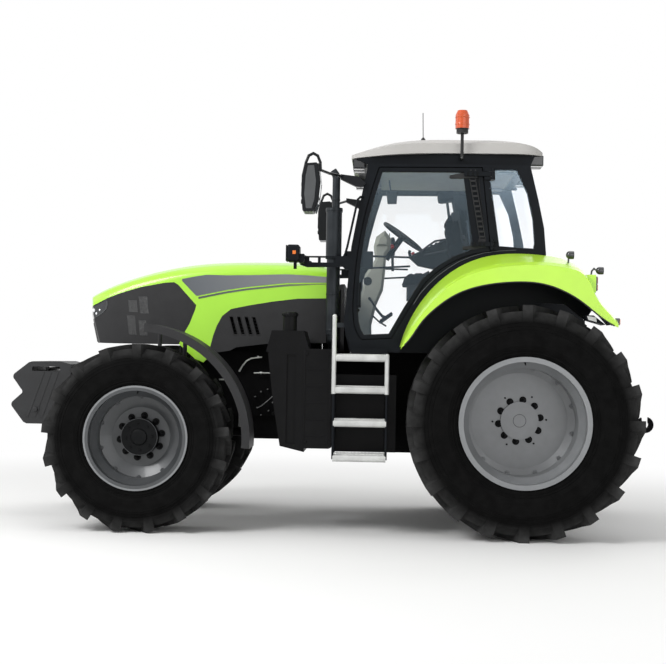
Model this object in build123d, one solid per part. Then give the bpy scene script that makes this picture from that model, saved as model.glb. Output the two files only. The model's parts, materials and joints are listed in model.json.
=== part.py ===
"""Farm tractor, four-wheel drive, with a closed cab, an opening bonnet and a rear three-point linkage.

Millimetres. +X points forward, +Y to the tractor's left, +Z up. The origin lies on the ground, under the
middle of the tractor's length. Outlines in side view are lists of (x, z), with x counted forward from the
rear axle, so side() moves them to the part's own frame.
"""

import os
from math import asin, cos, degrees, hypot, pi, radians, sin, sqrt

from build123d import *

# ---------------------------------------------------------------------------------------------------
# Driving dimensions
# ---------------------------------------------------------------------------------------------------
REAR_AXLE_X = -1540.0
WHEELBASE = 3000.0
FRONT_AXLE_X = REAR_AXLE_X + WHEELBASE

FIT = 0.3  # gap between curved faces that seat on each other
RUN = 0.08  # radial clearance of a shaft in its bore
GAP = 6.0  # clearance between pieces that move past each other

# Wheels. One column per axle.
WHEEL = {
    #        rear    front
    "tyre_r": (905.0, 732.0),  # to the lugs' tips
    "tyre_half_w": (310.0, 260.0),  # widest point of the side wall
    "lug_h": (46.0, 38.0),
    "lug_count": (20, 17),
    "lug_w": (78.0, 70.0),
    "seat_r": (482.6, 381.0),  # bead seat of the rim
    "rim_half_w": (262.0, 236.0),  # outside of the flanges
    "half_track": (950.0, 910.0),
    "disc_in": (238.0, 40.0),  # wheel disc's outer face, inboard of the tyre's middle
    "hub_r": (150.0, 145.0),
    "hub_out": (24.0, 92.0),  # how far the hub stands out of the disc
    "stub_r": (62.0, 55.0),
}
FLANGE_H = 25.0
FLANGE_T = 14.0
RIM_T = 12.0
WELL_DEPTH = 48.0
DISC_T = 18.0

# Steering
KINGPIN_Y = 690.0
KNUCKLE_R = 72.0
KNUCKLE_HALF_H = 148.0
KINGPIN_R = 26.0
STEER_ARM = 165.0  # kingpin to tie rod pin
ARM_DROP = 65.0  # steering arm below the axle
ARM_OUT = 12.0  # steering arm outboard of the kingpin

# Cab
CAB_HALF_W = 850.0
POST_T = 60.0  # cab side frame, across
DOOR_T = 38.0
ROOF_BASE_HALF_W = 775.0
GLASS_T = 6.0
GLASS_Y = CAB_HALF_W - 20.0  # door glass, outer face
FLOOR_Z = 1480.0
FLOOR_T = 50.0
FRAME_TOP_Z = 2926.0
SEAL_W = 30.0  # door frame round its glass
TYRE_ROOM = 40.0  # between a rear tyre and the cab floor beside it
DECK_HALF_W = WHEEL["half_track"][0] - WHEEL["tyre_half_w"][0] - TYRE_ROOM
ARCH_CLEAR_Z = 2140.0  # the cab widens out above this, over the wheel arches
HINGE_R = 9.0
HINGE_OUT = 20.0  # door hinge pin, outside the cab side

# Bonnet
HOOD_T = 22.0
HOOD_HINGE_X = 1604.0  # ahead of the rear axle
HOOD_HINGE_Z = 2070.0
HOOD_HINGE_Y = 280.0

# Running gear
ENGINE_HALF_W = 235.0
FRAME_HALF_W = 175.0
GEARBOX_HALF_W = 250.0
BELLY_Z = 690.0
CASE_TOP_Z = 1424.0
BACK_TOP_Z = 1300.0

# Linkage
LINK_Y = 430.0
LINK_PIVOT = (60.0, 590.0)
LINK_EYE = (-1035.0, 868.0)

REAR, FRONT = 0, 1


def rear_x(x):
    """Own-frame X of a place that lies x ahead of the rear axle."""
    return REAR_AXLE_X + x


def wheel(name, axle):
    return WHEEL[name][axle]


def lug_reach(axle):
    """Half the angle that a lug's tip spans, in radians."""
    return asin(0.5 * wheel("lug_w", axle) / wheel("tyre_r", axle))


def axle_z(axle):
    """Height of the axle: the staggered lugs carry the wheel on their flats or nearest corners."""
    half_pitch = pi / wheel("lug_count", axle) / 2
    return wheel("tyre_r", axle) * cos(min(lug_reach(axle), abs(half_pitch - lug_reach(axle))))


REAR_Z = axle_z(REAR)
FRONT_Z = axle_z(FRONT)


# ---------------------------------------------------------------------------------------------------
# Shape helpers
# ---------------------------------------------------------------------------------------------------
def side(start, *steps, y=0.0):
    """Closed face in side view at Y = y. A step is (x, z) for a line, ((x, z), (x, z)) for an arc through
    the first point to the second, or more points for a smooth curve. x is ahead of the rear axle."""
    at = Plane(origin=(REAR_AXLE_X, y, 0), x_dir=(1, 0, 0), z_dir=(0, -1, 0))
    edges, here = [], start
    for step in steps + (start,):
        if isinstance(step[0], tuple):
            edges.append(ThreePointArc(here, *step) if len(step) == 2 else Spline(here, *step))
            here = step[-1]
        elif hypot(step[0] - here[0], step[1] - here[1]) > 1e-6:
            edges.append(Line(here, step))
            here = step
    return at * make_face(edges)


def chords(start, *steps, per_arc=7):
    """The corner points of an outline like side()'s, with its arcs as short chords."""
    points = [start]
    for step in steps:
        if isinstance(step[0], tuple):
            arc = ThreePointArc(points[-1], *step)
            points += [((arc @ (n / per_arc)).X, (arc @ (n / per_arc)).Y) for n in range(1, per_arc + 1)]
        else:
            points.append(step)
    return points


def grown(points, amount):
    """A polygon's corners moved outward by amount along both of their edges, or inward if it is below 0."""
    count = len(points)
    area = sum(a[0] * b[1] - b[0] * a[1] for a, b in zip(points, points[1:] + points[:1]))
    turn = 1 if area > 0 else -1
    out = []
    for n, (x, z) in enumerate(points):
        normals = []
        for a, b in ((points[n - 1], (x, z)), ((x, z), points[(n + 1) % count])):
            length = hypot(b[0] - a[0], b[1] - a[1])
            normals.append((turn * (b[1] - a[1]) / length, -turn * (b[0] - a[0]) / length))
        (px, pz), (qx, qz) = normals
        share = amount / (1 + px * qx + pz * qz)
        out.append((x + share * (px + qx), z + share * (pz + qz)))
    return out


def slab(face, y0, y1):
    """A side-view face made at Y = 0, as a solid between two Y planes."""
    return Pos(0, y0, 0) * extrude(face, amount=-(y1 - y0))


def block(x, y, z):
    """A box from three (low, high) pairs, x ahead of the rear axle."""
    size = [hi - lo for lo, hi in (x, y, z)]
    return Pos(rear_x(x[0]), y[0], z[0]) * Box(*size, align=(Align.MIN, Align.MIN, Align.MIN))


def rod(start, end, radius):
    """A round bar between two own-frame points."""
    a, b = Vector(*start), Vector(*end)
    along = b - a
    return Plane(origin=a, z_dir=along) * Cylinder(
        radius, along.length, align=(Align.CENTER, Align.CENTER, Align.MIN)
    )


def tube(points, radius):
    """A round bar along straight runs, with a ball in each knee."""
    runs = [rod(a, b, radius) for a, b in zip(points, points[1:])]
    knees = [Pos(*p) * Sphere(radius + 0.6) for p in points[1:-1]]
    return runs[0].fuse(*runs[1:], *knees)


def turned(profile):
    """Revolves (radius, y) points about the Y axis."""
    return revolve(make_face(Polyline(*profile, close=True)), axis=Axis.Y)


def mirrored(part):
    return mirror(part, about=Plane.XZ)


def pair(part):
    """The part and its mirror image, as separate solids."""
    return list(part.solids()) + list(mirrored(part).solids())


# ---------------------------------------------------------------------------------------------------
# Wheels, at the origin with +Y outboard
# ---------------------------------------------------------------------------------------------------
def tyre(axle):
    r, w, h = wheel("tyre_r", axle), wheel("tyre_half_w", axle), wheel("lug_h", axle)
    seat = wheel("seat_r", axle) + FIT
    bead_y = wheel("rim_half_w", axle) - FLANGE_T
    flange_r = wheel("seat_r", axle) + FLANGE_H + 1
    base = r - h
    wall = base - flange_r
    half = [
        (seat, bead_y),
        (flange_r, bead_y),
        (flange_r + 0.25 * wall, w - 8),
        (flange_r + 0.55 * wall, w),
        (base - 0.16 * wall, w - 24),
        (base, w - 70),
    ]
    carcass = turned(half + [(a, -b) for a, b in reversed(half)])
    pitch = 360.0 / wheel("lug_count", axle)
    lugs = []
    for hand in (1, -1):
        for n in range(wheel("lug_count", axle)):
            turn = (n + (0.0 if hand > 0 else 0.5)) * pitch
            lugs.append(Rot(0, turn, 0) * lug(axle, hand))
    return carcass.fuse(*lugs)


def lug(axle, hand):
    """One tread bar at the top of the tyre: it starts at the middle, leans back and ends on the shoulder."""
    r, w = wheel("tyre_r", axle), wheel("tyre_half_w", axle)
    thick = wheel("lug_w", axle) / 2
    depth = 3.4 * wheel("lug_h", axle)
    lean = 0.62 * w
    knee, end = 0.55 * w, w - 14
    line = [(-lean, 8.0), (-0.30 * lean, knee), (0.0, end)]
    front = [(x + thick, hand * y) for x, y in line]
    back = [(x - thick, hand * y) for x, y in reversed(line)]
    top = r * cos(lug_reach(axle))
    bar = extrude(Pos(0, 0, top - depth) * make_face(Polyline(*front, *back, close=True)), amount=depth)
    bars = bar & turned([(r - depth, -w), (r, -w), (r, w), (r - depth, w)])
    return bars


def rim(axle):
    seat, half_w = wheel("seat_r", axle), wheel("rim_half_w", axle)
    flange_r = seat + FLANGE_H
    bead_y = half_w - FLANGE_T
    well_r, well_y = seat - WELL_DEPTH, 0.42 * half_w
    outside = [
        (flange_r, half_w),
        (flange_r, bead_y),
        (seat, bead_y),
        (seat, well_y + 60),
        (well_r, well_y),
    ]
    outer = outside + [(a, -b) for a, b in reversed(outside)]
    inside = [(seat - RIM_T, half_w), (seat - RIM_T, well_y + 54), (well_r - RIM_T, well_y - 6)]
    inner = [(a, -b) for a, b in inside] + list(reversed(inside))
    barrel = turned(outer + inner)
    face = -wheel("disc_in", axle)
    hub_r, out = wheel("hub_r", axle), wheel("hub_out", axle)
    disc_r = (well_r - RIM_T) if abs(face) < well_y else (seat - RIM_T)
    rise = 46.0
    web_r = disc_r - 90
    disc = turned(
        [
            (0, face - DISC_T),
            (web_r, face - DISC_T),
            (disc_r + 3, face - DISC_T + rise),
            (disc_r + 3, face + rise),
            (web_r, face),
            (0, face),
        ]
    )
    hub = Pos(0, face, 0) * Rot(-90, 0, 0) * Cylinder(
        hub_r, out, align=(Align.CENTER, Align.CENTER, Align.MIN)
    )
    whole = barrel + disc + hub
    bore_r = wheel("stub_r", axle) + RUN
    bore = Pos(0, face - DISC_T, 0) * Rot(-90, 0, 0) * Cylinder(
        bore_r, DISC_T + 0.5 * out, align=(Align.CENTER, Align.CENTER, Align.MIN)
    )
    return whole - bore


def place_wheel(part, axle, hand):
    """Puts a wheel piece on its axle. hand is 1 on the left."""
    x = (REAR_AXLE_X, FRONT_AXLE_X)[axle]
    z = (REAR_Z, FRONT_Z)[axle]
    outboard = part if hand > 0 else mirrored(part)
    return Pos(x, hand * wheel("half_track", axle), z) * outboard


def hub_face_y(axle):
    """Y of the wheel disc's inner face, on the left."""
    return wheel("half_track", axle) - wheel("disc_in", axle) - DISC_T


# ---------------------------------------------------------------------------------------------------
# Front axle, knuckles, front mudguards
# ---------------------------------------------------------------------------------------------------
EAR_T = 40.0
TRUNNION_R = 60.0
TRUNNION_REACH = 245.0  # axle to the middle of each hanger
EAR_GAP = 3.0
YOKE_IN = KINGPIN_Y - KNUCKLE_R - 12


def front_axle():
    x = FRONT_AXLE_X
    beam = Pos(x, 0, FRONT_Z) * Box(150, 2 * (YOKE_IN - 40), 130)
    differential = Pos(x, 0, FRONT_Z) * Rot(90, 0, 0) * Cylinder(120, 230)
    trunnion = Pos(x, 0, FRONT_Z) * Rot(0, 90, 0) * Cylinder(TRUNNION_R, 2 * TRUNNION_REACH + 90)
    body = beam + differential + trunnion
    ear_z = KNUCKLE_HALF_H + EAR_GAP
    for hand in (1, -1):
        web = Pos(x, hand * (YOKE_IN - 25), FRONT_Z) * Box(150, 50, 2 * (ear_z + EAR_T))
        body += web
        for up in (1, -1):
            z = FRONT_Z + up * (ear_z + EAR_T / 2)
            ear = Pos(
                x, hand * (YOKE_IN - 50 + KINGPIN_Y) / 2, z
            ) * Box(120, KINGPIN_Y - YOKE_IN + 50, EAR_T)
            eye = Pos(x, hand * KINGPIN_Y, z) * Cylinder(60, EAR_T)
            pin = Pos(x, hand * KINGPIN_Y, FRONT_Z + up * (ear_z - 25)) * Cylinder(KINGPIN_R, 60)
            body += [ear, eye, pin]
    return body


def knuckle():
    """Left steering knuckle with its final drive case and stub axle."""
    x, z = FRONT_AXLE_X, FRONT_Z
    post = Pos(x, KINGPIN_Y, z) * Cylinder(KNUCKLE_R, 2 * KNUCKLE_HALF_H)
    face = hub_face_y(FRONT) - GAP
    case = Pos(x, KINGPIN_Y + 20, z) * Rot(-90, 0, 0) * Cylinder(
        132, face - KINGPIN_Y - 20, align=(Align.CENTER, Align.CENTER, Align.MIN)
    )
    stub = Pos(x, face, z) * Rot(-90, 0, 0) * Cylinder(
        wheel("stub_r", FRONT), GAP + DISC_T + 0.4 * wheel("hub_out", FRONT), align=(
            Align.CENTER, Align.CENTER, Align.MIN
        )
    )
    arm = Pos(x - STEER_ARM / 2, KINGPIN_Y + ARM_OUT, z - ARM_DROP) * Box(STEER_ARM, 46, 32)
    eye = Pos(x - STEER_ARM, KINGPIN_Y + ARM_OUT, z - ARM_DROP) * Cylinder(32, 32)
    part = post + case + arm + eye + stub
    for up in (1, -1):
        bore = Pos(x, KINGPIN_Y, z + up * (KNUCKLE_HALF_H - 30)) * Cylinder(KINGPIN_R + RUN, 62)
        part -= bore
    return part


def tie_rod():
    x, z = FRONT_AXLE_X - STEER_ARM, FRONT_Z - ARM_DROP - 32 - FIT
    y = KINGPIN_Y + ARM_OUT
    bar = rod((x, -y, z), (x, y, z), 13)
    ends = [Pos(x, hand * y, z) * Cylinder(34, 32) for hand in (1, -1)]
    return bar + ends


FENDER_R = 880.0  # inside of the front mudguard, from the wheel's centre
FENDER_T = 12.0
FENDER_LIP = 70.0
FENDER_Y = (800.0, 1180.0)
FENDER_FROM, FENDER_TO = 94.0, 184.0  # degrees, from straight ahead over the top


def ring_sector(r0, r1, y0, y1, start, end):
    """A piece of a ring about the front wheel's axis, between two angles from straight ahead."""
    ring = Pos(0, y0, 0) * Rot(-90, 0, 0) * (
        Cylinder(r1, y1 - y0, align=(Align.CENTER, Align.CENTER, Align.MIN))
        - Cylinder(r0, y1 - y0, align=(Align.CENTER, Align.CENTER, Align.MIN))
    )
    far = 2 * r1
    points = [(0, 0)]
    for n in range(4):
        a = radians(start + (end - start) * n / 3)
        points.append((far * cos(a), far * sin(a)))
    wedge = Plane(
        origin=(0, y0, 0), x_dir=(1, 0, 0), z_dir=(0, -1, 0)
    ) * make_face(Polyline(*points, close=True))
    return Pos(FRONT_AXLE_X, 0, FRONT_Z) * (ring & extrude(wedge, amount=-(y1 - y0)))


def front_mudguard():
    """Left front mudguard: a curved sheet with a lip outboard, on two tube stays."""
    y0, y1 = FENDER_Y
    skin = ring_sector(FENDER_R, FENDER_R + FENDER_T, y0, y1, FENDER_FROM, FENDER_TO)
    lip = ring_sector(
        FENDER_R - FENDER_LIP + 20, FENDER_R + FENDER_T, y1 - FENDER_T, y1, FENDER_FROM, FENDER_TO
    )
    part = skin + lip
    stay_y = KINGPIN_Y - 76
    for ahead, foot in ((-95.0, 90.0), (-300.0, -90.0)):
        top_r = FENDER_R - 16
        top_z = FRONT_Z + sqrt(top_r**2 - ahead**2)
        x0, x1 = FRONT_AXLE_X + foot, FRONT_AXLE_X + ahead
        part += tube(
            [
                (x0, KINGPIN_Y + 40, FRONT_Z + 85),
                (x0, KINGPIN_Y + 40, FRONT_Z + 215),
                (x0, stay_y, FRONT_Z + 262),
                (x1, stay_y, FRONT_Z + 520),
                (x1, stay_y, top_z),
                (x1, y1 - 40, top_z),
            ],
            17,
        )
    return part


# ---------------------------------------------------------------------------------------------------
# Front frame, weights, engine, gearbox and rear axle
# ---------------------------------------------------------------------------------------------------
ENGINE_FRONT, ENGINE_REAR = WHEELBASE - 360, 1500.0
FRAME_FRONT = WHEELBASE + 700
FRAME_Z = (900.0, 1230.0)


def front_frame():
    outline = side(
        (ENGINE_FRONT, FRAME_Z[0]),
        (ENGINE_FRONT + 80, FRAME_Z[0] - 40),
        (WHEELBASE + TRUNNION_REACH + 35, FRAME_Z[0] - 40),
        (FRAME_FRONT, FRAME_Z[0] + 60),
        (FRAME_FRONT, FRAME_Z[1]),
        (ENGINE_FRONT, FRAME_Z[1]),
    )
    part = slab(outline, -FRAME_HALF_W, FRAME_HALF_W)
    part -= block(
        (ENGINE_FRONT + 120, FRAME_FRONT - 60), (-FRAME_HALF_W + 40, FRAME_HALF_W - 40),
        (FRAME_Z[0] + 60, FRAME_Z[1] + 1)
    )
    for ahead in (-1, 1):
        x = WHEELBASE + ahead * TRUNNION_REACH
        hanger = block((x - 30, x + 30), (-110, 110), (FRONT_Z - 84, FRAME_Z[0] - 39))
        part += hanger
    part -= Pos(FRONT_AXLE_X, 0, FRONT_Z) * Rot(0, 90, 0) * Cylinder(TRUNNION_R + RUN, 700)
    return part


def front_weights():
    """Plates side by side on the frame's nose, with the notched outline of carried weights."""
    outline = side(
        (FRAME_FRONT, FRAME_Z[0] - 116),
        (4064, 784),
        (4092, 796),
        (4187, 920),
        ((4196, 945), (4186, 968)),
        (4118, 1030),
        ((4106, 1052), (4118, 1074)),
        (4172, 1150),
        ((4184, 1181), (4170, 1205)),
        (4055, 1296),
        (4025, 1305),
        (3790, 1308),
        (FRAME_FRONT, 1285),
    )
    half = 300.0
    part = slab(outline, -half, half)
    slot = block((3790, 4025), (-half - 1, half + 1), (1226, 1262))
    part -= slot
    for n in range(1, 10):
        y = -half + n * 2 * half / 10
        part -= block((3760, 4300), (y - 3, y + 3), (700, 1400))
    return part


def engine():
    block_part = block((ENGINE_REAR, ENGINE_FRONT), (-ENGINE_HALF_W, ENGINE_HALF_W), (880, 1420))
    head = block((ENGINE_REAR + 120, ENGINE_FRONT - 80), (-170, 170), (1420, 1720))
    back, front = ENGINE_REAR + 40, ENGINE_FRONT - 40
    step = back + 0.6 * (front - back)
    outline = side(
        (back, 880), (back, BELLY_Z), (step, BELLY_Z), (step + 120, 780), (front, 780), (front, 880)
    )
    sump = slab(outline, -190, 190)
    return block_part + head + sump


def gearbox():
    bell = block((1180, ENGINE_REAR), (-ENGINE_HALF_W, ENGINE_HALF_W), (640, CASE_TOP_Z))
    case = block((300, 1180), (-GEARBOX_HALF_W, GEARBOX_HALF_W), (600, CASE_TOP_Z))
    back = slab(
        side(
            (-330, 620), (300, 600), (300, BACK_TOP_Z), (-190, BACK_TOP_Z), (-190, 1180),
            (-330, 1180)
        ), -300, 300
    )
    part = bell + case + back
    face = hub_face_y(REAR) - GAP
    for hand in (1, -1):
        trumpet = Pos(REAR_AXLE_X, hand * 300, REAR_Z) * Rot(-90 * hand, 0, 0) * Cone(
            190, 140, face - 300, align=(Align.CENTER, Align.CENTER, Align.MIN)
        )
        stub = Pos(REAR_AXLE_X, hand * face, REAR_Z) * Rot(-90 * hand, 0, 0) * Cylinder(
            wheel("stub_r", REAR),
            GAP + DISC_T + 0.4 * wheel("hub_out", REAR),
            align=(Align.CENTER, Align.CENTER, Align.MIN),
        )
        part += [trumpet, stub]
    pto = rod((rear_x(-330), 0, 760), (rear_x(-440), 0, 760), 17.5)
    return part + pto


def driveshaft():
    z = FRONT_Z
    joint = rear_x(WHEELBASE - TRUNNION_REACH - 45)
    return rod((joint, 0, z), (joint - 60, 0, z), 50) + rod((joint - 59, 0, z), (rear_x(2200), 0, z), 34)


# ---------------------------------------------------------------------------------------------------
# Cab
# ---------------------------------------------------------------------------------------------------
CAB_SIDE = (
    (1238, FRAME_TOP_Z),
    (1245, 2867),
    (1292, 2631),
    (1359, 2262),
    (1408, 1672),
    (1392, 1554),
    (1361, 1496),
    (1361, FLOOR_Z - FLOOR_T),
    (965, FLOOR_Z - FLOOR_T),
    (937, 1577),
    (853, 1752),
    (725, 1930),
    (538, 2092),
    (323, 2190),
    (106, 2222),
    (-175, 2212),
    (-177, 2224),
    (-159, 2429),
    (-112, 2647),
    (-43, FRAME_TOP_Z),
)
DOOR_SHAPE = (
    (338, 2898),
    (1144, 2892),
    ((1280, 2370), (1330, 1892)),
    ((1334, 1770), (1324, 1664)),
    ((1302, 1590), (1264, 1532)),
    (1032, 1546),
    ((912, 1760), (776, 1984)),
    ((538, 2166), (262, 2244)),
)
QUARTER_SHAPE = (
    (286, 2890),
    (60, 2890),
    (-30, 2702),
    (-76, 2498),
    (-92, 2310),
    (-80, 2262),
    (196, 2280),
)
HINGE_X = 250.0
HINGE_Z = (2296.0, 2850.0)
HINGE_POST_X = (248.0, 318.0)  # front edge of the plate on the post
HINGE_DOOR_X = (284.0, 346.0)  # rear edge of the strap's foot on the door
HINGE_Y = CAB_HALF_W + HINGE_OUT
REAR_HINGE = (-62.0, 2900.0)


def door_face(grow=0.0):
    return side(*grown(chords(*DOOR_SHAPE), grow))


def front_line(z):
    """x of the cab's front face at height z."""
    points = ((2926, 1238), (2867, 1245), (2631, 1292), (2262, 1359), (1672, 1408), (1480, 1380))
    for (z1, x1), (z0, x0) in zip(points, points[1:]):
        if z >= z0:
            return x0 + (x1 - x0) * (z - z0) / (z1 - z0)
    return points[-1][1]


def cab_frame():
    """Side frames with their door and quarter openings, cross rails, cowl and rear wall."""
    half, inner = CAB_HALF_W, CAB_HALF_W - POST_T
    sides = slab(side(*CAB_SIDE), inner, half)
    sides -= slab(door_face(8.0), inner - 1, half + 1)
    sides -= slab(side(*QUARTER_SHAPE), inner - 1, half + 1)
    for z, post in zip(HINGE_Z, HINGE_POST_X):
        for dz in (-32, 32):
            knuckle_part = Pos(rear_x(HINGE_X), HINGE_Y, z + dz) * Cylinder(16, 24)
            plate = block((post - 36, post), (half - 1, HINGE_Y), (z + dz - 12, z + dz + 12))
            reach = block(sorted((HINGE_X, post - 1)), (half + 2, HINGE_Y), (z + dz - 12, z + dz + 12))
            sides += [knuckle_part, plate, reach]
        sides += Pos(rear_x(HINGE_X), HINGE_Y, z) * Cylinder(HINGE_R, 60)
    part = sides + mirrored(sides)
    top = FRAME_TOP_Z
    rails = [
        block((1150, 1238), (-inner - 1, inner + 1), (top - 50, top)),
        block((-42, 30), (-inner - 1, inner + 1), (top - 14, top)),
    ]
    cowl = slab(
        side(
            (1310, FLOOR_Z - FLOOR_T), (1361, FLOOR_Z - FLOOR_T), (1392, 1554), (1408, 1672),
            (1402, 1745), (1352, 1745)
        ),
        -inner - 1, inner + 1
    )
    back = slab(
        side((-175, ARCH_CLEAR_Z), (-135, ARCH_CLEAR_Z), (-135, 2224), (-177, 2224)), -inner - 1,
        inner + 1
    )
    lower_back = slab(
        side(
            (-175, FLOOR_Z - FLOOR_T), (-135, FLOOR_Z - FLOOR_T), (-135, ARCH_CLEAR_Z + 1),
            (-175, ARCH_CLEAR_Z + 1)
        ),
        -DECK_HALF_W,
        DECK_HALF_W,
    )
    for hand in (1, -1):
        rails.append(
            Pos(rear_x(REAR_HINGE[0]), hand * 560, REAR_HINGE[1]) * Rot(90, 0, 0) * Cylinder(8, 70)
        )
        rails.append(
            block(
                (REAR_HINGE[0] - 10, REAR_HINGE[0] + 34), (hand * 600 - 12, hand * 600 + 12),
                (REAR_HINGE[1] - 3, top - 2)
            )
        )
    return part + rails + cowl + back + lower_back


def cab_floor():
    z0, z1 = FLOOR_Z - FLOOR_T, FLOOR_Z
    deck = block((-134, 1309), (-DECK_HALF_W + 1, DECK_HALF_W - 1), (z0, z1))
    front = block((966, 1309), (-CAB_HALF_W + POST_T + 1, CAB_HALF_W - POST_T - 1), (z0, z1))
    part = deck + front
    for x, foot in ((30, BACK_TOP_Z), (1060, CASE_TOP_Z)):
        for hand in (1, -1):
            part += block((x, x + 110), (hand * 190 - 55, hand * 190 + 55), (foot, z0 + 1))
    return part


def windscreen():
    half = CAB_HALF_W - POST_T
    outer = [(front_line(z) - 6, z) for z in (1746, 1900, 2100, 2262, 2450, 2631, 2760, 2875)]
    inner = [(x - GLASS_T, z) for x, z in reversed(outer)]
    return slab(side(*outer, *inner), -half, half)


def quarter_windows():
    pane = slab(side(*grown(list(QUARTER_SHAPE), -0.5)), GLASS_Y - GLASS_T, GLASS_Y)
    return pair(pane)


def rear_window():
    """Top-hinged glass in a thin frame."""
    half = CAB_HALF_W - POST_T - 8
    outline = side(
        (-173, 2232), (-157, 2429), (-110, 2647), (-58, 2860), (-46, 2892), (-60, 2892),
        (-72, 2860), (-124, 2647), (-171, 2429), (-187, 2232)
    )
    whole = slab(outline, -half, half)
    for hand in (1, -1):
        lug_part = Pos(rear_x(REAR_HINGE[0]), hand * 560, REAR_HINGE[1]) * Rot(90, 0, 0) * Cylinder(15, 40)
        whole += lug_part
        whole -= Pos(
            rear_x(REAR_HINGE[0]), hand * 560, REAR_HINGE[1]
        ) * Rot(90, 0, 0) * Cylinder(8 + RUN, 80)
    return whole


def door_frame():
    """Left door: a thin frame with its hinges and handle."""
    y1, y0 = CAB_HALF_W, CAB_HALF_W - DOOR_T
    ring = slab(door_face(), y0, y1) - slab(door_face(-SEAL_W), y0 - 1, y1 + 1)
    for z, foot in zip(HINGE_Z, HINGE_DOOR_X):
        bar = block((HINGE_X, foot + 130), (y1 + 3, HINGE_Y + 4), (z - 17, z + 17))
        pad = block((foot, foot + 130), (GLASS_Y + FIT, y1 + 4), (z - 17, z + 17))
        knuckle_part = Pos(rear_x(HINGE_X), HINGE_Y, z) * Cylinder(16, 34)
        ring += [bar, pad, knuckle_part]
        ring -= Pos(rear_x(HINGE_X), HINGE_Y, z) * Cylinder(HINGE_R + RUN, 60)
    handle = tube(
        [
            (rear_x(1290), y1 - 5, 1800), (rear_x(1290), y1 + 45, 1800),
            (rear_x(1290), y1 + 45, 1960), (rear_x(1290), y1 - 5, 1960)
        ],
        10,
    )
    return ring + block((1276, 1318), (y0, y1), (1780, 1980)) + handle


def door_glass():
    return slab(door_face(-SEAL_W - 0.5), GLASS_Y - GLASS_T, GLASS_Y)


def cab_roof():
    """Crowned roof cap, lofted through cross sections."""
    sections = []
    for x, low, edge, crown, half in (
        (-150, 3012, 3040, 3080, 740),
        (-60, 3016, 3084, 3150, 805),
        (260, 3020, 3104, 3212, 815),
        (700, 3018, 3098, 3214, 815),
        (1130, 2996, 3062, 3150, 810),
        (1370, 2976, 3004, 3050, 740),
    ):
        at = Plane(origin=(rear_x(x), 0, 0), x_dir=(0, 1, 0), z_dir=(1, 0, 0))
        wire = [
            Line((-half, low), (half, low)),
            Line((half, low), (half, edge)),
            ThreePointArc((half, edge), (0, crown), (-half, edge)),
            Line((-half, edge), (-half, low)),
        ]
        sections.append(at * make_face(wire))
    return loft(sections)


def roof_base():
    """Dark band under the roof cap, with a visor over the windscreen."""
    outline = side(
        (-50, FRAME_TOP_Z), (1240, FRAME_TOP_Z), (1330, 2972), (1100, 2996), (700, 3016),
        (-90, 3018)
    )
    return slab(outline, -ROOF_BASE_HALF_W, ROOF_BASE_HALF_W)


def seat():
    base = slab(
        side((430, 2000), (930, 2000), ((960, 2036), (930, 2075)), (520, 2090), (430, 2110)), -250,
        250
    )
    back = slab(side((395, 2060), (500, 2060), (560, 2600), ((520, 2640), (475, 2600))), -235, 235)
    head = slab(
        side((500, 2640), (590, 2650), (630, 2810), ((600, 2835), (560, 2820)), (505, 2700)), -140,
        140
    )
    post = block((510, 560), (-60, 60), (2590, 2700))
    return base + back + head + post


def seat_base():
    box = block((430, 880), (-230, 230), (FLOOR_Z, 1700))
    neck = block((500, 820), (-150, 150), (1699, 1880))
    top = block((440, 900), (-240, 240), (1879, 2000))
    return box + neck + top


def console():
    """Armrest and control console to the right of the seat."""
    body = slab(
        side(
            (250, FLOOR_Z), (860, FLOOR_Z), (960, 1720), (960, 1990), (900, 2080), (420, 2140),
            (250, 2140)
        ),
        -560, -340
    )
    arm = slab(side((480, 2118), (900, 2066), (960, 2200), (930, 2250), (480, 2230)), -430, -300)
    lever = rod((rear_x(880), -500, 2060), (rear_x(940), -500, 2240), 11)
    return body + arm + lever + Pos(rear_x(940), -500, 2250) * Sphere(26)


WHEEL_AT = (943.0, 2418.0)
WHEEL_TILT = asin(200 / hypot(280, 200))


def column_point(down):
    """A place on the steering column's axis, a distance below the wheel's middle."""
    x, z = WHEEL_AT
    return rear_x(x + down * sin(WHEEL_TILT)), 0, z - down * cos(WHEEL_TILT)


def steering_column():
    body = slab(
        side(
            (1060, FLOOR_Z), (1240, FLOOR_Z), (1180, 1662), (1310, 2040), (1300, 2160),
            (1190, 2290), (1100, 2250), (1010, 2200), (1080, 2030), (1070, 1700)
        ),
        -120,
        120,
    )
    post = rod(column_point(300), column_point(20), 28) + rod(column_point(40), column_point(3), 12)
    pedals = []
    for y in (-230, -180, 200):
        pedals.append(block((1100, 1150), (y - 30, y + 30), (1560, 1680)))
        pedals.append(block((1120, 1170), (y - 8, y + 8), (FLOOR_Z, 1600)))
    bar = block((1100, 1150), (-235, 205), (1600, 1625))
    return body + post + pedals + bar


def steering_wheel():
    ring = Torus(185, 15) + Cylinder(34, 34)
    for n in range(3):
        ring += Rot(0, 0, 120 * n + 60) * Pos(100, 0, 0) * Box(170, 26, 12)
    ring -= Pos(0, 0, -8) * Cylinder(12 + RUN, 20)
    return Pos(rear_x(WHEEL_AT[0]), 0, WHEEL_AT[1]) * Rot(0, -degrees(WHEEL_TILT), 0) * ring


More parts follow.
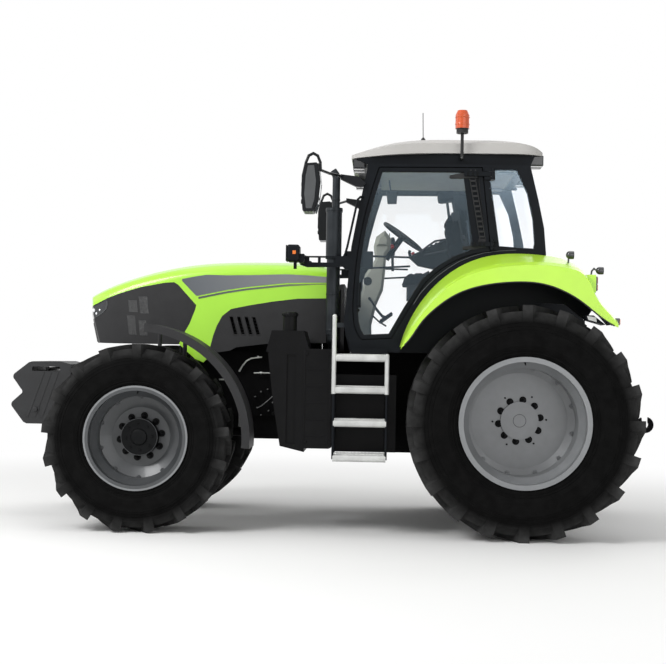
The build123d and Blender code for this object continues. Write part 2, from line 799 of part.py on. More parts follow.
# ---------------------------------------------------------------------------------------------------
# Rear mudguards
# ---------------------------------------------------------------------------------------------------
ARCH_LOW = (
    (948, 1472),
    (900, 1520),
    (810, 1654),
    (687, 1781),
    (533, 1886),
    (347, 1951),
    (114, 1983),
    (-119, 1973),
    (-276, 1922),
    (-432, 1830),
    (-588, 1708),
    (-697, 1650),
)
ARCH_CREASE = (
    (-697, 1700),
    (-607, 1800),
    (-528, 1900),
    (-480, 2010),
    (-420, 2082),
    (-308, 2124),
    (-150, 2142),
    (117, 2134),
    (346, 2092),
    (581, 1980),
    (760, 1806),
    (890, 1622),
    (958, 1480),
)
ARCH_TOP = (
    (-697, 1740),
    (-615, 1830),
    (-550, 1915),
    (-500, 2020),
    (-440, 2110),
    (-320, 2182),
    (-170, 2212),
    (106, 2222),
    (323, 2190),
    (538, 2092),
    (725, 1930),
    (853, 1752),
    (965, 1474),
)
MUDGUARD_Y = (880.0, 1130.0, 1180.0)


def arch_face(y, top, low=ARCH_LOW):
    at = Plane(origin=(REAR_AXLE_X, y, 0), x_dir=(1, 0, 0), z_dir=(0, -1, 0))
    lower, upper = Spline(*low), Spline(*top)
    return at * make_face([lower, Line(low[-1], top[0]), upper, Line(top[-1], low[0])])


def arch_hollow():
    """The room over the left rear wheel."""
    hollow = [(x, z - 24) for x, z in ARCH_CREASE]
    return slab_from(arch_face(DECK_HALF_W - 1, hollow), MUDGUARD_Y[2] - 24 - DECK_HALF_W)


def mudguard():
    """Left rear mudguard: the painted skin outboard of the cab, with its lamp pod."""
    y_in, y_crease, y_out = MUDGUARD_Y
    lower_edge = [(x, z - 26) for x, z in ARCH_CREASE]
    outer = loft([arch_face(y_in, ARCH_TOP), arch_face(y_crease, ARCH_CREASE)], ruled=True)
    lip = loft([arch_face(y_crease, ARCH_CREASE), arch_face(y_out, lower_edge)], ruled=True)
    pod = block((-536, -440), (930, 1090), (1916, 2056))
    pod = fillet(pod.edges().filter_by(Axis.X), 16)
    return outer + lip + pod - arch_hollow()


def wheel_arch():
    """Left wheel arch: the dark pan and side wall between the cab floor and the mudguard's skin."""
    pan = slab_from(arch_face(DECK_HALF_W, ARCH_TOP), MUDGUARD_Y[0] - DECK_HALF_W) - arch_hollow()
    wall = side(
        (-134, FLOOR_Z - FLOOR_T),
        (964, FLOOR_Z - FLOOR_T),
        (948, 1500),
        (853, 1740),
        (725, 1915),
        (538, 2078),
        (323, 2178),
        (106, 2208),
        (-134, 2205),
        (-320, 2170),
        (-432, 2100),
        (-490, 2015),
        (-540, 1912),
        (-600, 1830),
        (-525, 1716),
        (-471, 1751),
        (-384, 1823),
        (-352, 1843),
        (-134, 1843),
    )
    return pan + slab(wall, DECK_HALF_W, DECK_HALF_W + 16)


def slab_from(face, depth):
    return extrude(face, amount=-depth)


# ---------------------------------------------------------------------------------------------------
# Tanks, steps, exhaust, mirrors, lamps
# ---------------------------------------------------------------------------------------------------
STEP_X = (1053.0, 1478.0)
STEP_Y = (860.0, 1150.0)
TANK_Y = (470.0, 990.0)
TANK_TO_GUARD = 116.0  # clear of the front mudguard
TANK_X = (STEP_X[1] + 1, WHEELBASE - FENDER_R - FENDER_T - TANK_TO_GUARD)
TANK_SPLIT = TANK_X[0] + 0.431 * (TANK_X[1] - TANK_X[0])  # between its two moulded halves


def tank_bodies():
    """Moulded left tank ahead of the steps, with the step box behind it."""
    y0, y1 = TANK_Y
    back, nose, split = TANK_X[0], TANK_X[1], TANK_SPLIT
    foot = nose - 0.2 * (nose - back)
    front = slab(
        side(
            (split, 640), (foot, 684), ((foot + nose) / 2 + 10, 1050), (nose, 1400),
            (nose - 7, 1420), (split, 1420)
        ),
        y0,
        y1,
    )
    rear = slab(
        side(
            (back, 690),
            ((back + 21, 672), (back + 41, 669)),
            (split + 1, 669),
            (split + 1, 1448),
            (back + 41, 1448),
            ((back + 13, 1440), (back, 1410)),
        ),
        y0,
        y1,
    )
    box = slab(side((985, 640), (back + 1, 640), (back + 1, 1250), (985, 1250)), y0, 840)
    bracket = block((1060, 1160), (GEARBOX_HALF_W, y0 + 1), (900, 1000))
    bracket += block((split - 100, split - 20), (ENGINE_HALF_W, y0 + 1), (900, 1000))
    return front + rear + box + bracket


def fuel_tank():
    y0, y1 = TANK_Y
    nose, split = TANK_X[1], TANK_SPLIT
    shoulder = side((split - 36, 1419), (nose + 18, 1419), (nose - 26, 1587), (split + 14, 1587))
    filler_x = (split + nose) / 2 - 16
    neck = Pos(rear_x(filler_x), y1 - 90, 1586) * Cylinder(
        54, 114, align=(Align.CENTER, Align.CENTER, Align.MIN)
    )
    part = tank_bodies() + slab(shoulder, y0 + 40, y1) + neck
    groove = block((filler_x - 56, filler_x + 14), (y1 - 14, y1 + 1), (700, 1400))
    return part - groove


def battery_box():
    return mirrored(tank_bodies())


TREAD_T = 54.0


def steps():
    """Four treads on each side and the grip-covered handrails of the upper two."""
    x0, x1 = STEP_X
    y0, y1 = STEP_Y
    part = []
    for z in (1355, 1107, 850, 582):
        tread = block((x0 + 8, x1 - 8), (y0, y1), (z, z + TREAD_T))
        part.append(fillet(tread.edges().filter_by(Axis.X), 20))
    for x, top in ((x0 + 8, 1400), (x1 - 8, 1700)):
        part.append(rod((rear_x(x), y1 - 12, 1104), (rear_x(x), y1 - 12, top), 17))
        part.append(Pos(rear_x(x), y1 - 12, top) * Sphere(17.6))
    left = part[0].fuse(*part[1:])
    return pair(left)


def step_hangers(treads):
    """Thin rods between the treads and the brackets that hold them to the cab floor."""
    x0, x1 = STEP_X
    y0, y1 = STEP_Y
    under = FLOOR_Z - FLOOR_T
    part = block((x0 + 8, x1 - 130), (CAB_HALF_W, y0 + 1), (under - 20, under + 30))
    part += block((x0 + 8, x1 - 130), (y0, y0 + 40), (1400, under + 30))
    for x in (x0 + 8, x1 - 8):
        part += rod((rear_x(x), y1 - 12, 600), (rear_x(x), y1 - 12, 1120), 9)
        part += rod((rear_x(x), y0 + 14, 600), (rear_x(x), y0 + 14, 1404), 9)
    part += block((x0 + 8, x1 - 8), (y0 + 5, y0 + 23), (1396, 1410))
    return [solid for solid in (part + mirrored(part) - treads).solids()]


EXHAUST_X, EXHAUST_Y = 1504.0, 690.0


def exhaust():
    """Upright silencer with its heat shield, on two stays from the front post."""
    x, y = rear_x(EXHAUST_X), EXHAUST_Y
    up = (Align.CENTER, Align.CENTER, Align.MIN)
    shield = Pos(x, y, 1565) * Cylinder(54, 620, align=up) + Pos(x, y, 2180) * Cylinder(63, 395, align=up)
    shield += Pos(x, y, 2548) * Cylinder(67, 34, align=up)
    tip = x - 13
    pipe = tube([(tip, y, 2500), (tip, y, 2826), (tip + 6, y, 2850), (tip + 30, y, 2884)], 31)
    elbow = tube(
        [(x, y, 1600), (x, y, 1530), (x, y - 40, 1505), (x, 330, 1500), (x, 290, 1470), (x, 290, 1400)],
        42
    )
    foot = block((EXHAUST_X, EXHAUST_X + 70), (ENGINE_HALF_W, 340), (1320, 1410))
    part = shield + pipe + elbow + foot
    for z in (1640, 2150):
        part += block(
            (front_line(z) - 20, EXHAUST_X - 40), (CAB_HALF_W - POST_T + 8, CAB_HALF_W - 40),
            (z - 18, z + 18)
        )
        part += block((EXHAUST_X - 60, EXHAUST_X - 20), (y, CAB_HALF_W - 40), (z - 18, z + 18))
    return part


MIRROR_Y = 1340.0


def mirror_piece():
    """Left mirror in a hooped tube on a tapered arm from the front post."""
    y = MIRROR_Y
    arm = side((1250, 2762), (1284, 2731), (1328, 2735), (1452, 2795), (1453, 2832), (1303, 2814))
    part = slab(arm, CAB_HALF_W - 30, CAB_HALF_W + 36)
    hoop = (
        (1590, 2803), (1593, 2862), (1613, 2911), (1647, 2929), (1681, 2911), (1701, 2860),
        (1722, 2760), (1724, 2600)
    )
    path = [(1436, CAB_HALF_W + 20, 2814), (1532, 1090, 2810)] + [(x, y, z) for x, z in hoop]
    part += tube([(rear_x(a), b, c) for a, b, c in path], 11)
    outline = side(
        (1715, 2476), (1728, 2607), (1718, 2750), (1698, 2839), (1610, 2847), (1591, 2710),
        (1605, 2558), (1633, 2477)
    )
    shell = slab(outline, y - 112, y + 112)
    shell = fillet(shell.edges().filter_by(Axis.Y), 14)
    return part + shell


def lamp_bracket():
    """Left front corner bracket with its box lamp and the grab rail up the front post."""
    plate = side(
        (1353, 2078),
        (1402, 2078),
        (1424, 2102),
        (1706, 2094),
        (1762, 2112),
        (1762, 2196),
        (1708, 2184),
        (1425, 2187),
        (1404, 2227),
        (1356, 2227),
    )
    y = CAB_HALF_W
    part = slab(plate, y - 24, y - 4)
    for x0, x1 in ((1486, 1600), (1622, 1690)):
        part -= block((x0, x1), (y - 30, y), (2134, 2172))
    part += block((1724, 1764), (y - 24, 1000), (2120, 2190))
    lamp = block((1757, 1859), (y + 10, 1040), (2126, 2260))
    part += fillet(lamp.edges(), 22)
    part += Pos(rear_x(1795), 950, 2073) * Cylinder(13, 60, align=(Align.CENTER, Align.CENTER, Align.MIN))
    rail = [
        (1396, y - 14, 2190), (1402, y + 26, 2214), (1390, y + 26, 2258), (1325, y + 26, 2575),
        (1313, y + 26, 2634)
    ]
    rail += [(1292, y + 22, 2655), (1262, y - 10, 2657)]
    return part + tube([(rear_x(a), b, c) for a, b, c in rail], 9)


def round_lamp(x, y, z, radius):
    """Small lamp that looks backwards: a flat lens face with a domed shell ahead of it."""
    at = Pos(rear_x(x), y, z)
    shell = at * Sphere(radius) & block(
        (x, x + 2 * radius), (y - 2 * radius, y + 2 * radius), (z - 2 * radius, z + 2 * radius)
    )
    return shell + at * Rot(0, -90, 0) * Cylinder(radius, 24, align=(Align.CENTER, Align.CENTER, Align.MIN))


def work_lamps():
    """Roof, mudguard and tail lamps of the left side."""
    part = []
    for y in (520, 690):
        body = block((1268, 1352), (y - 62, y + 62), (2896, 2972))
        part.append(fillet(body.edges().filter_by(Axis.X), 14))
    for y in (560, 700):
        body = block((-150, -44), (y - 55, y + 55), (2934, 3018))
        part.append(fillet(body.edges().filter_by(Axis.X), 14))
    part.append(round_lamp(-345, 1000, 2210, 32))
    part.append(rod((rear_x(-334), 1000, 2184), (rear_x(-330), 1000, 2110), 7))
    part.append(round_lamp(-575, 1000, 2092, 30))
    stalk = ((-552, 2092), (-532, 2108), (-514, 2088), (-506, 2030))
    part.append(tube([(rear_x(a), 1000, b) for a, b in stalk], 7))
    part.append(block((-548, -536 - FIT), (940, 1080), (1930, 2042)))
    tail = block((-716, -680), (930, 1120), (1668, 1722))
    return tail.fuse(*part)


def beacon():
    y = 820.0
    x = rear_x(497)
    stalk = tube([(x, ROOF_BASE_HALF_W, 2975), (x, y + 40, 2975), (x, y + 40, 3170)], 12)
    base = Pos(x, y + 40, 3168) * Cylinder(46, 38, align=(Align.CENTER, Align.CENTER, Align.MIN))
    dome = Pos(x, y + 40, 3205) * Cylinder(56, 110, align=(Align.CENTER, Align.CENTER, Align.MIN))
    top = Pos(x, y + 40, 3314) * Cone(56, 40, 36, align=(Align.CENTER, Align.CENTER, Align.MIN))
    return stalk + base + dome + top


# ---------------------------------------------------------------------------------------------------
# Bonnet
# ---------------------------------------------------------------------------------------------------
HOOD_SECTIONS = (
    # x, top, shoulder, half width at the shoulder, half width at the bottom
    (1562, 2146, 2040, 405, 448),
    (1900, 2176, 2060, 405, 448),
    (2380, 2170, 2052, 402, 446),
    (2820, 2124, 2000, 396, 438),
    (3160, 2040, 1916, 378, 420),
    (3420, 1944, 1820, 345, 388),
    (3580, 1856, 1728, 294, 338),
)
NOSE_X = 3570.0
NOSE_R = 980.0  # of the front's curve in plan
NOSE_BEND_Z = 1812.0  # the front leans back below this
NOSE_LEAN = 13.1  # degrees
HOOD_LOW = 1300.0
LAMP_SHAPE = (
    (3455, 1698), (3500, 1672), (3640, 1640), (3640, 1712), (3484, 1784), (3396, 1830),
    (3390, 1790), (3402, 1748)
)
FRONT_PANEL = (
    (3640, 1720),
    (3484, 1796),
    (3386, 1846),
    (3267, 1890),
    (3109, 1937),
    (2911, 1975),
    (2832, 1981),
    (2797, 1961),
    (2642, 1794),
    (2649, 1757),
    (2693, 1640),
    (2737, 1559),
    (2790, 1440),
    (3640, 1440),
)
REAR_PANEL = (
    (1500, 1868),
    (1801, 1860),
    (2021, 1831),
    (2205, 1798),
    (2352, 1766),
    (2424, 1707),
    (2467, 1625),
    (2495, 1544),
    (2520, 1440),
    (2520, 1290),
    (1500, 1290),
)
HOOD_BOTTOM = (
    (1500, 1499),
    (1562, 1499),
    (2069, 1482),
    (2302, 1451),
    (2354, 1423),
    (2420, 1412),
    (2500, 1400),
    (2570, 1321),
    (2640, 1350),
    (2779, 1470),
    (3700, 1470),
    (3700, 1200),
    (1500, 1200),
)


def hood_solid(inset):
    """The bonnet's closed outer form, or the same form drawn in by inset."""
    sections = []
    count = len(HOOD_SECTIONS)
    for n, (x, top, shoulder, top_w, low_w) in enumerate(HOOD_SECTIONS):
        if inset and n == count - 1:
            x -= inset
        if inset and n == 0:
            x -= 20
        top, shoulder, top_w, low_w = top - inset, shoulder - inset, top_w - inset, low_w - inset
        low = HOOD_LOW - (10 if inset else 0)
        at = Plane(origin=(rear_x(x), 0, 0), x_dir=(0, 1, 0), z_dir=(1, 0, 0))
        mid_w, mid_z = 0.86 * top_w, shoulder + 0.66 * (top - shoulder)
        wire = [
            Line((-low_w, low), (low_w, low)),
            Line((low_w, low), (top_w, shoulder)),
            ThreePointArc(
                (top_w, shoulder), (0.965 * top_w, shoulder + 0.36 * (top - shoulder)),
                (mid_w, mid_z)
            ),
            ThreePointArc((mid_w, mid_z), (0, top), (-mid_w, mid_z)),
            ThreePointArc(
                (-mid_w, mid_z), (-0.965 * top_w, shoulder + 0.36 * (top - shoulder)),
                (-top_w, shoulder)
            ),
            Line((-top_w, shoulder), (-low_w, low)),
        ]
        sections.append(at * make_face(wire))
    return loft(sections) - nose_trim(inset)


def nose_trim(inset):
    """What comes off the bonnet's front to round it in plan and lean it back under the lamps."""
    core = Cylinder(NOSE_R - inset, 3000)
    upright = Pos(rear_x(NOSE_X - NOSE_R), 0, NOSE_BEND_Z) * core
    leaned = Pos(rear_x(NOSE_X - NOSE_R), 0, NOSE_BEND_Z) * Rot(0, NOSE_LEAN, 0) * core
    return block((3200, 3900), (-700, 700), (HOOD_LOW - 60, 2300)) - (upright & leaned)


def hood_shell():
    return hood_solid(0) - hood_solid(HOOD_T) - slab(side(*HOOD_BOTTOM), -600, 600)


def hood(shell):
    part = shell - slab(side(*FRONT_PANEL), -600, 600) - slab(side(*REAR_PANEL), -600, 600)
    for hand in (1, -1):
        y = hand * HOOD_HINGE_Y
        arm = block(
            (HOOD_HINGE_X - 20, HOOD_HINGE_X + 60), (y - 12, y + 12),
            (HOOD_HINGE_Z - 20, HOOD_HINGE_Z + 44)
        )
        part += arm
        part -= Pos(rear_x(HOOD_HINGE_X), y, HOOD_HINGE_Z) * Rot(90, 0, 0) * Cylinder(9 + RUN, 60)
    return part


def front_panel(shell):
    """Dark nose and side panels, joined round the front. The lamps sit in their pockets."""
    return (shell & slab(side(*FRONT_PANEL), -600, 600)) - lamp_pocket()


def rear_panels(shell):
    """Dark side panels with slanted slots."""
    part = shell & slab(side(*REAR_PANEL), -600, 600)
    for n in range(4):
        x = 2110 + 62 * n
        slot = side((x, 1560), (x + 26, 1560), (x + 66, 1700), (x + 40, 1700))
        part -= slab(slot, -600, 600)
    return part


def lamp_pocket():
    return slab(side(*LAMP_SHAPE), -600, -150) + slab(side(*LAMP_SHAPE), 150, 600)


def headlamps(shell):
    """Both headlamps, filling the pockets of the nose."""
    gap = 0.5
    shape = side(*grown(list(LAMP_SHAPE), -gap))
    zone = slab(shape, -600, -150 - gap) + slab(shape, 150 + gap, 600)
    return list((shell & zone).solids())


def hood_hinge():
    """Fixed bracket behind the bonnet that holds its rear hinge pins."""
    x, z = HOOD_HINGE_X, HOOD_HINGE_Z
    part = block((1420, x + 16), (-330, 330), (z - 130, z - 84))
    part += block((1420, 1480), (-60, 60), (1700, z - 129))
    part += block((1420, 1499), (-200, 200), (CASE_TOP_Z, 1701))
    part += block((1418, 1448), (-400, 400), (CASE_TOP_Z + 20, z - 84))
    for hand in (1, -1):
        for dy in (-26, 26):
            y = hand * HOOD_HINGE_Y + dy
            part += block((x - 16, x + 16), (y - 7, y + 7), (z - 85, z + 14))
        part += Pos(rear_x(x), hand * HOOD_HINGE_Y, z) * Rot(90, 0, 0) * Cylinder(9, 66)
    return part


# ---------------------------------------------------------------------------------------------------
# Rear linkage
# ---------------------------------------------------------------------------------------------------
SHAFT_AT = (-262.0, 1236.0)
ARM_TIP = (-560.0, 1310.0)
ROD_FOOT = 0.60  # share of the lower link from its pivot to the lift rod


def link_point(share):
    (x0, z0), (x1, z1) = LINK_PIVOT, LINK_EYE
    return x0 + share * (x1 - x0), z0 + share * (z1 - z0)


def cross_pin(x, z, y, radius, length):
    return Pos(rear_x(x), y, z) * Rot(90, 0, 0) * Cylinder(radius, length)


def lift_arms():
    x, z = SHAFT_AT
    tx, tz = ARM_TIP
    part = cross_pin(x, z, 0, 34, 2 * LINK_Y + 30)
    for hand in (1, -1):
        y = hand * (LINK_Y - 8)
        web = side((x - 8, z + 52), (x + 30, z - 46), (tx + 4, tz - 30), (tx - 4, tz + 30))
        part += slab(web, y - 18, y + 18) + cross_pin(x, z, y, 58, 36)
        part += cross_pin(tx, tz, y, 34, 36)
        part -= cross_pin(tx, tz, y, 15 + RUN, 60)
    return part


def lift_rods():
    foot = link_point(ROD_FOOT)
    out = []
    for hand in (1, -1):
        y = hand * (LINK_Y + 46)
        x0, z0 = ARM_TIP
        x1, z1 = foot
        part = rod((rear_x(x0), y, z0), (rear_x(x1), y, z1 + 92), 17)
        part += cross_pin(x0, z0, y, 30, 34)
        part += rod((rear_x(x0), y, z0 - 120), (rear_x(x1), y, z1 + 220), 30)
        part += cross_pin(x0, z0, hand * (LINK_Y + 10), 15, 80)
        fork_y = y - 40 * hand
        for dy in (-24, 24):
            part += block((x1 - 24, x1 + 24), (fork_y + dy - 6, fork_y + dy + 6), (z1 - 20, z1 + 110))
        part += block((x1 - 24, x1 + 24), sorted((fork_y - 30 * hand, y + 18 * hand)), (z1 + 92, z1 + 114))
        out.append(part)
    return out


def lower_links():
    (x0, z0), (x1, z1) = LINK_PIVOT, LINK_EYE
    fx, fz = link_point(ROD_FOOT)
    out = []
    for hand in (1, -1):
        y = hand * (LINK_Y + 6)
        bar = slab(
            side((x0, z0 + 38), (x0, z0 - 38), (fx, fz - 52), (x1, z1 - 34), (x1, z1 + 34), (fx, fz + 52)),
            y - 15, y + 15
        )
        part = bar + cross_pin(x0, z0, y, 52, 44)
        part += cross_pin(x1 - 10, z1 + 10, y, 66, 52)
        claw = cross_pin(x1 - 10, z1 + 10, y, 30, 60)
        throat = side((x1 - 34, z1 + 4), (x1 + 14, z1 + 4), (x1 + 24, z1 + 90), (x1 - 34, z1 + 90))
        claw += slab(throat, y - 30, y + 30)
        part -= claw
        part -= cross_pin(x0, z0, y, 20 + RUN, 60)
        out.append(part)
    return out


def drawbar():
    hanger = block((-420, 330), (-70, 70), (430, 470)) + block((-420, -330), (-110, 110), (469, 640))
    tongue = block((-620, 420), (-45, 45), (395, 431))
    tongue += Pos(rear_x(-620), 0, 413) * Cylinder(52, 36)
    tongue -= Pos(rear_x(-620), 0, 413) * Cylinder(17, 60)
    front = block((330, 420), (-70, 70), (395, 640))
    return hanger + tongue + front


TOP_PIVOT, TOP_EYE = (-470.0, 1050.0), (-705.0, 1540.0)


def link_carrier():
    """Rear bracket on the axle housing: lower link pins, lift shaft bores and top link clevis."""
    px, pz = LINK_PIVOT
    sx, sz = SHAFT_AT
    part = block((-420, -330), (-180, 180), (820, 1170))
    for hand in (1, -1):
        part += block((sx - 60, sx + 60), sorted((hand * 300, hand * 360)), (1130, 1320))
        part += cross_pin(px, pz, hand * 390, 20, 180)
        part += block((px - 70, px + 70), sorted((hand * 300, hand * 392)), (pz - 50, pz + 60))
    for y in (-38, 38):
        part += slab(side((-420, 960), (-420, 1160), (-500, 1080), (-500, 1020)), y - 12, y + 12)
    part -= cross_pin(sx, sz, 0, 34 + RUN, 1200)
    part += cross_pin(*TOP_PIVOT, 0, 12.5, 110)
    return part


def top_link():
    """Upper link folded up against the rear of the cab on its own pin."""
    x, z = TOP_PIVOT
    eye_x, eye_z = TOP_EYE
    thick = [(x + (eye_x - x) * share, z + (eye_z - z) * share) for share in (0.29, 0.76)]
    part = cross_pin(x, z, 0, 30, 44)
    part += rod((rear_x(x), 0, z), (rear_x(eye_x), 0, eye_z), 22)
    part += rod((rear_x(thick[0][0]), 0, thick[0][1]), (rear_x(thick[1][0]), 0, thick[1][1]), 32)
    part += cross_pin(eye_x, eye_z, 0, 34, 50)
    part -= cross_pin(eye_x, eye_z, 0, 12.7, 80)
    part -= cross_pin(x, z, 0, 12.5 + RUN, 80)
    return part


# ---------------------------------------------------------------------------------------------------
# Build
# ---------------------------------------------------------------------------------------------------
def build():
    shell = hood_shell()
    left_knuckle, left_fender = knuckle(), front_mudguard()
    left_door = door_frame()
    left_glass = door_glass() - left_door
    frame, gears, motor = cab_frame(), gearbox(), engine()
    roof = cab_roof()
    base = roof_base() - roof
    guards = mudguard() - frame
    treads = steps()
    nodes = {
        "front_frame": front_frame(),
        "front_weights": front_weights(),
        "engine_block": motor,
        "rear_transmission": gears,
        "front_axle": front_axle(),
        "drive_shaft": driveshaft() - motor,
        "cab_frame": frame,
        "cab_floor": cab_floor(),
        "cab_roof": roof,
        "roof_base": base,
        "windscreen": windscreen() - frame,
        "quarter_windows": quarter_windows(),
        "seat": seat(),
        "seat_base": seat_base(),
        "armrest_console": console(),
        "steering_column": steering_column(),
        "steering_wheel": steering_wheel(),
        "rear_mudguards": pair(guards),
        "wheel_arches": pair(wheel_arch() - frame - guards),
        "fuel_tank": fuel_tank(),
        "battery_box": battery_box(),
        "cab_steps": treads,
        "step_hangers": step_hangers(treads),
        "exhaust": exhaust() - frame - motor,
        "mirrors": pair(mirror_piece() - frame),
        "front_lamp_brackets": pair(lamp_bracket() - frame),
        "work_lamps": pair(work_lamps() - frame - base - roof - guards),
        "beacon": beacon(),
        "hood_hinge_bracket": hood_hinge(),
        "linkage_carrier": link_carrier(),
        "drawbar": drawbar() - gears,
        "hood": hood(shell),
        "hood_front_panel": front_panel(shell),
        "hood_rear_panels": list(rear_panels(shell).solids()),
        "headlamps": headlamps(shell),
        "door_frame_left": left_door,
        "door_glass_left": left_glass,
        "door_frame_right": mirrored(left_door),
        "door_glass_right": mirrored(left_glass),
        "rear_window": rear_window(),
        "knuckle_left": left_knuckle,
        "knuckle_right": mirrored(left_knuckle),
        "front_mudguard_left": left_fender - left_knuckle,
        "front_mudguard_right": mirrored(left_fender - left_knuckle),
        "tie_rod": tie_rod(),
        "lift_arms": lift_arms(),
        "lift_rods": lift_rods(),
        "lower_links": lower_links(),
        "top_link": top_link(),
    }
    for axle, where in ((REAR, "rear"), (FRONT, "front")):
        tyre_part, rim_part = tyre(axle), rim(axle)
        for hand, label in ((1, "left"), (-1, "right")):
            nodes[f"{where}_tyre_{label}"] = place_wheel(tyre_part, axle, hand)
            nodes[f"{where}_rim_{label}"] = place_wheel(rim_part, axle, hand)
    return nodes


def save(nodes):
    os.makedirs("parts", exist_ok=True)
    for name, shape in nodes.items():
        body = Compound(children=list(shape)) if isinstance(shape, (list, ShapeList)) else shape
        export_step(body, f"parts/{name}.step")


save(build())
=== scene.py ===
"""Looks for the farm tractor: materials, trim, fastenings, lamps, cushions and the photograph's camera."""

import json
import math

import bmesh
import bpy
from mathutils import Matrix, Vector
from mathutils.bvhtree import BVHTree


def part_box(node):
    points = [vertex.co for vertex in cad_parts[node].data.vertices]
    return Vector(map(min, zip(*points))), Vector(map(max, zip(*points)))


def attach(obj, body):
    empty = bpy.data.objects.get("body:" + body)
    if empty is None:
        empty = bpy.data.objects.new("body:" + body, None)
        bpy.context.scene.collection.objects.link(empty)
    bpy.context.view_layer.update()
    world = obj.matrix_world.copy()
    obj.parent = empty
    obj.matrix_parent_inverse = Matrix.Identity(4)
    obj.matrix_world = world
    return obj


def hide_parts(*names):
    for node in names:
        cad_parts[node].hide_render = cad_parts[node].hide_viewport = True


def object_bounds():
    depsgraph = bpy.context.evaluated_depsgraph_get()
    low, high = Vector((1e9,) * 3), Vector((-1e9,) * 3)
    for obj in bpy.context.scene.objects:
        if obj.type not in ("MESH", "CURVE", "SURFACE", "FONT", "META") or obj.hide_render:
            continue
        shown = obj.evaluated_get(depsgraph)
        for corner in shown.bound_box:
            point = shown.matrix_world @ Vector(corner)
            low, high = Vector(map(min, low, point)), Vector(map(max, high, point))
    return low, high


REAR_AXLE = -1540.0  # millimetres, as in the part's source
FRONT_AXLE_X = 3000  # ahead of the rear axle
REAR_R, FRONT_R = 904, 731  # axle heights
SIDES = ((1, "left"), (-1, "right"))
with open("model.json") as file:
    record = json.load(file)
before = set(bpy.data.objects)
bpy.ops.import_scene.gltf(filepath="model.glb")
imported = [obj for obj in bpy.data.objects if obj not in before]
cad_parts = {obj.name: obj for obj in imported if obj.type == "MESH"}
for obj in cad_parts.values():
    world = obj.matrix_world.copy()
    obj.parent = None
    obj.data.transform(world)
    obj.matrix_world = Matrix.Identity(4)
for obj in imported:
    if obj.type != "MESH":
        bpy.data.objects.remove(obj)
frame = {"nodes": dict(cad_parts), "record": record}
NODES = frame["nodes"]
SLOTS = {s["node"]: s["material_slot"] for s in frame["record"]["subparts"]}


def P(x, y, z):
    """Metres in the row frame, from millimetres with x ahead of the rear axle."""
    return Vector(((x + REAR_AXLE) / 1000, y / 1000, z / 1000))


# ---- Materials ----
def srgb(text):
    """Linear colour from six hexadecimal digits."""
    out = []
    for n in (0, 2, 4):
        c = int(text[n : n + 2], 16) / 255
        out.append(c / 12.92 if c <= 0.04045 else ((c + 0.055) / 1.055) ** 2.4)
    return (*out, 1.0)


def wire(t, n, feeds=None, **values):
    """Sets a node's inputs by name, and links outputs to them."""
    for key, value in values.items():
        n.inputs[key.replace("_", " ")].default_value = value
    for key, out in (feeds or {}).items():
        t.links.new(out, n.inputs[key])
    return n


def node(t, kind, feeds=None, **values):
    return wire(t, t.nodes.new("ShaderNode" + kind), feeds, **values)


def maths(t, kind, how, first, second=None):
    """A Math or VectorMath node on an output, and on a second output or a value."""
    n = t.nodes.new("ShaderNode" + kind)
    n.operation = how
    t.links.new(first, n.inputs[0])
    if isinstance(second, bpy.types.NodeSocket):
        t.links.new(second, n.inputs[1])
    elif second is not None:
        n.inputs[1].default_value = second
    return n


def find(m, kind):
    return next(n for n in m.node_tree.nodes if n.type == kind)


def shade(m, feeds=None, **values):
    """Sets or feeds the inputs of a material's surface."""
    wire(m.node_tree, find(m, "BSDF_PRINCIPLED"), feeds, **values)
    return m


def material(name, colour, rough=0.5, metal=0.0, spread=0.12, scale=9.0, bump=0.02, fine=180.0, coat=0.0, **more):
    """A surface whose colour and roughness wander with noise, with a fine grain in its relief."""
    m = bpy.data.materials.new(name)
    m.use_nodes = True
    t = m.node_tree
    place = node(t, "TexCoord").outputs["Object"]
    big = node(t, "TexNoise", {"Vector": place}, Scale=scale, Detail=4).outputs["Fac"]
    ramp = node(t, "ValToRGB", {"Fac": big})
    for stop, at, gain in zip(ramp.color_ramp.elements, (0.3, 0.7), (1 - spread, 1 + spread)):
        stop.position = at
        stop.color = (*[min(1, c * gain) for c in srgb(colour)[:3]], 1)
    spots = node(t, "MapRange", {"Value": big}, To_Min=max(0.02, rough - 0.06), To_Max=min(1, rough + 0.06))
    grain = node(t, "TexNoise", {"Vector": place}, Scale=fine)
    relief = node(t, "Bump", {"Height": grain.outputs["Fac"]}, Strength=bump, Distance=0.002)
    feeds = {"Base Color": ramp.outputs["Color"], "Roughness": spots.outputs["Result"]}
    feeds["Normal"] = relief.outputs["Normal"]
    return shade(m, feeds, Metallic=metal, Coat_Weight=coat, Coat_Roughness=0.08, **more)


def glass(name, colour, alpha):
    """Thin sheet: what lies behind shows through, under a faint tinted reflection."""
    return shade(material(name, colour, 0.03, 1.0, spread=0.05, bump=0.0, scale=2.0), Alpha=alpha)


def sky_glass(name, colour, low, high):
    """Cab glass, which mirrors more of the sky towards its top."""
    m = glass(name, colour, high)
    return shade(m, {"Alpha": along(m, "Z", 2.45, 2.85, low, high)})


def along(m, axis, start, end, low=0.0, high=1.0):
    """A value that runs from low to high between two places (metres) on an axis of the tractor."""
    t = m.node_tree
    split = node(t, "SeparateXYZ", {"Vector": find(m, "TEX_COORD").outputs["Object"]})
    feeds = {"Value": split.outputs[axis]}
    return node(t, "MapRange", feeds, From_Min=start, From_Max=end, To_Min=low, To_Max=high).outputs["Result"]


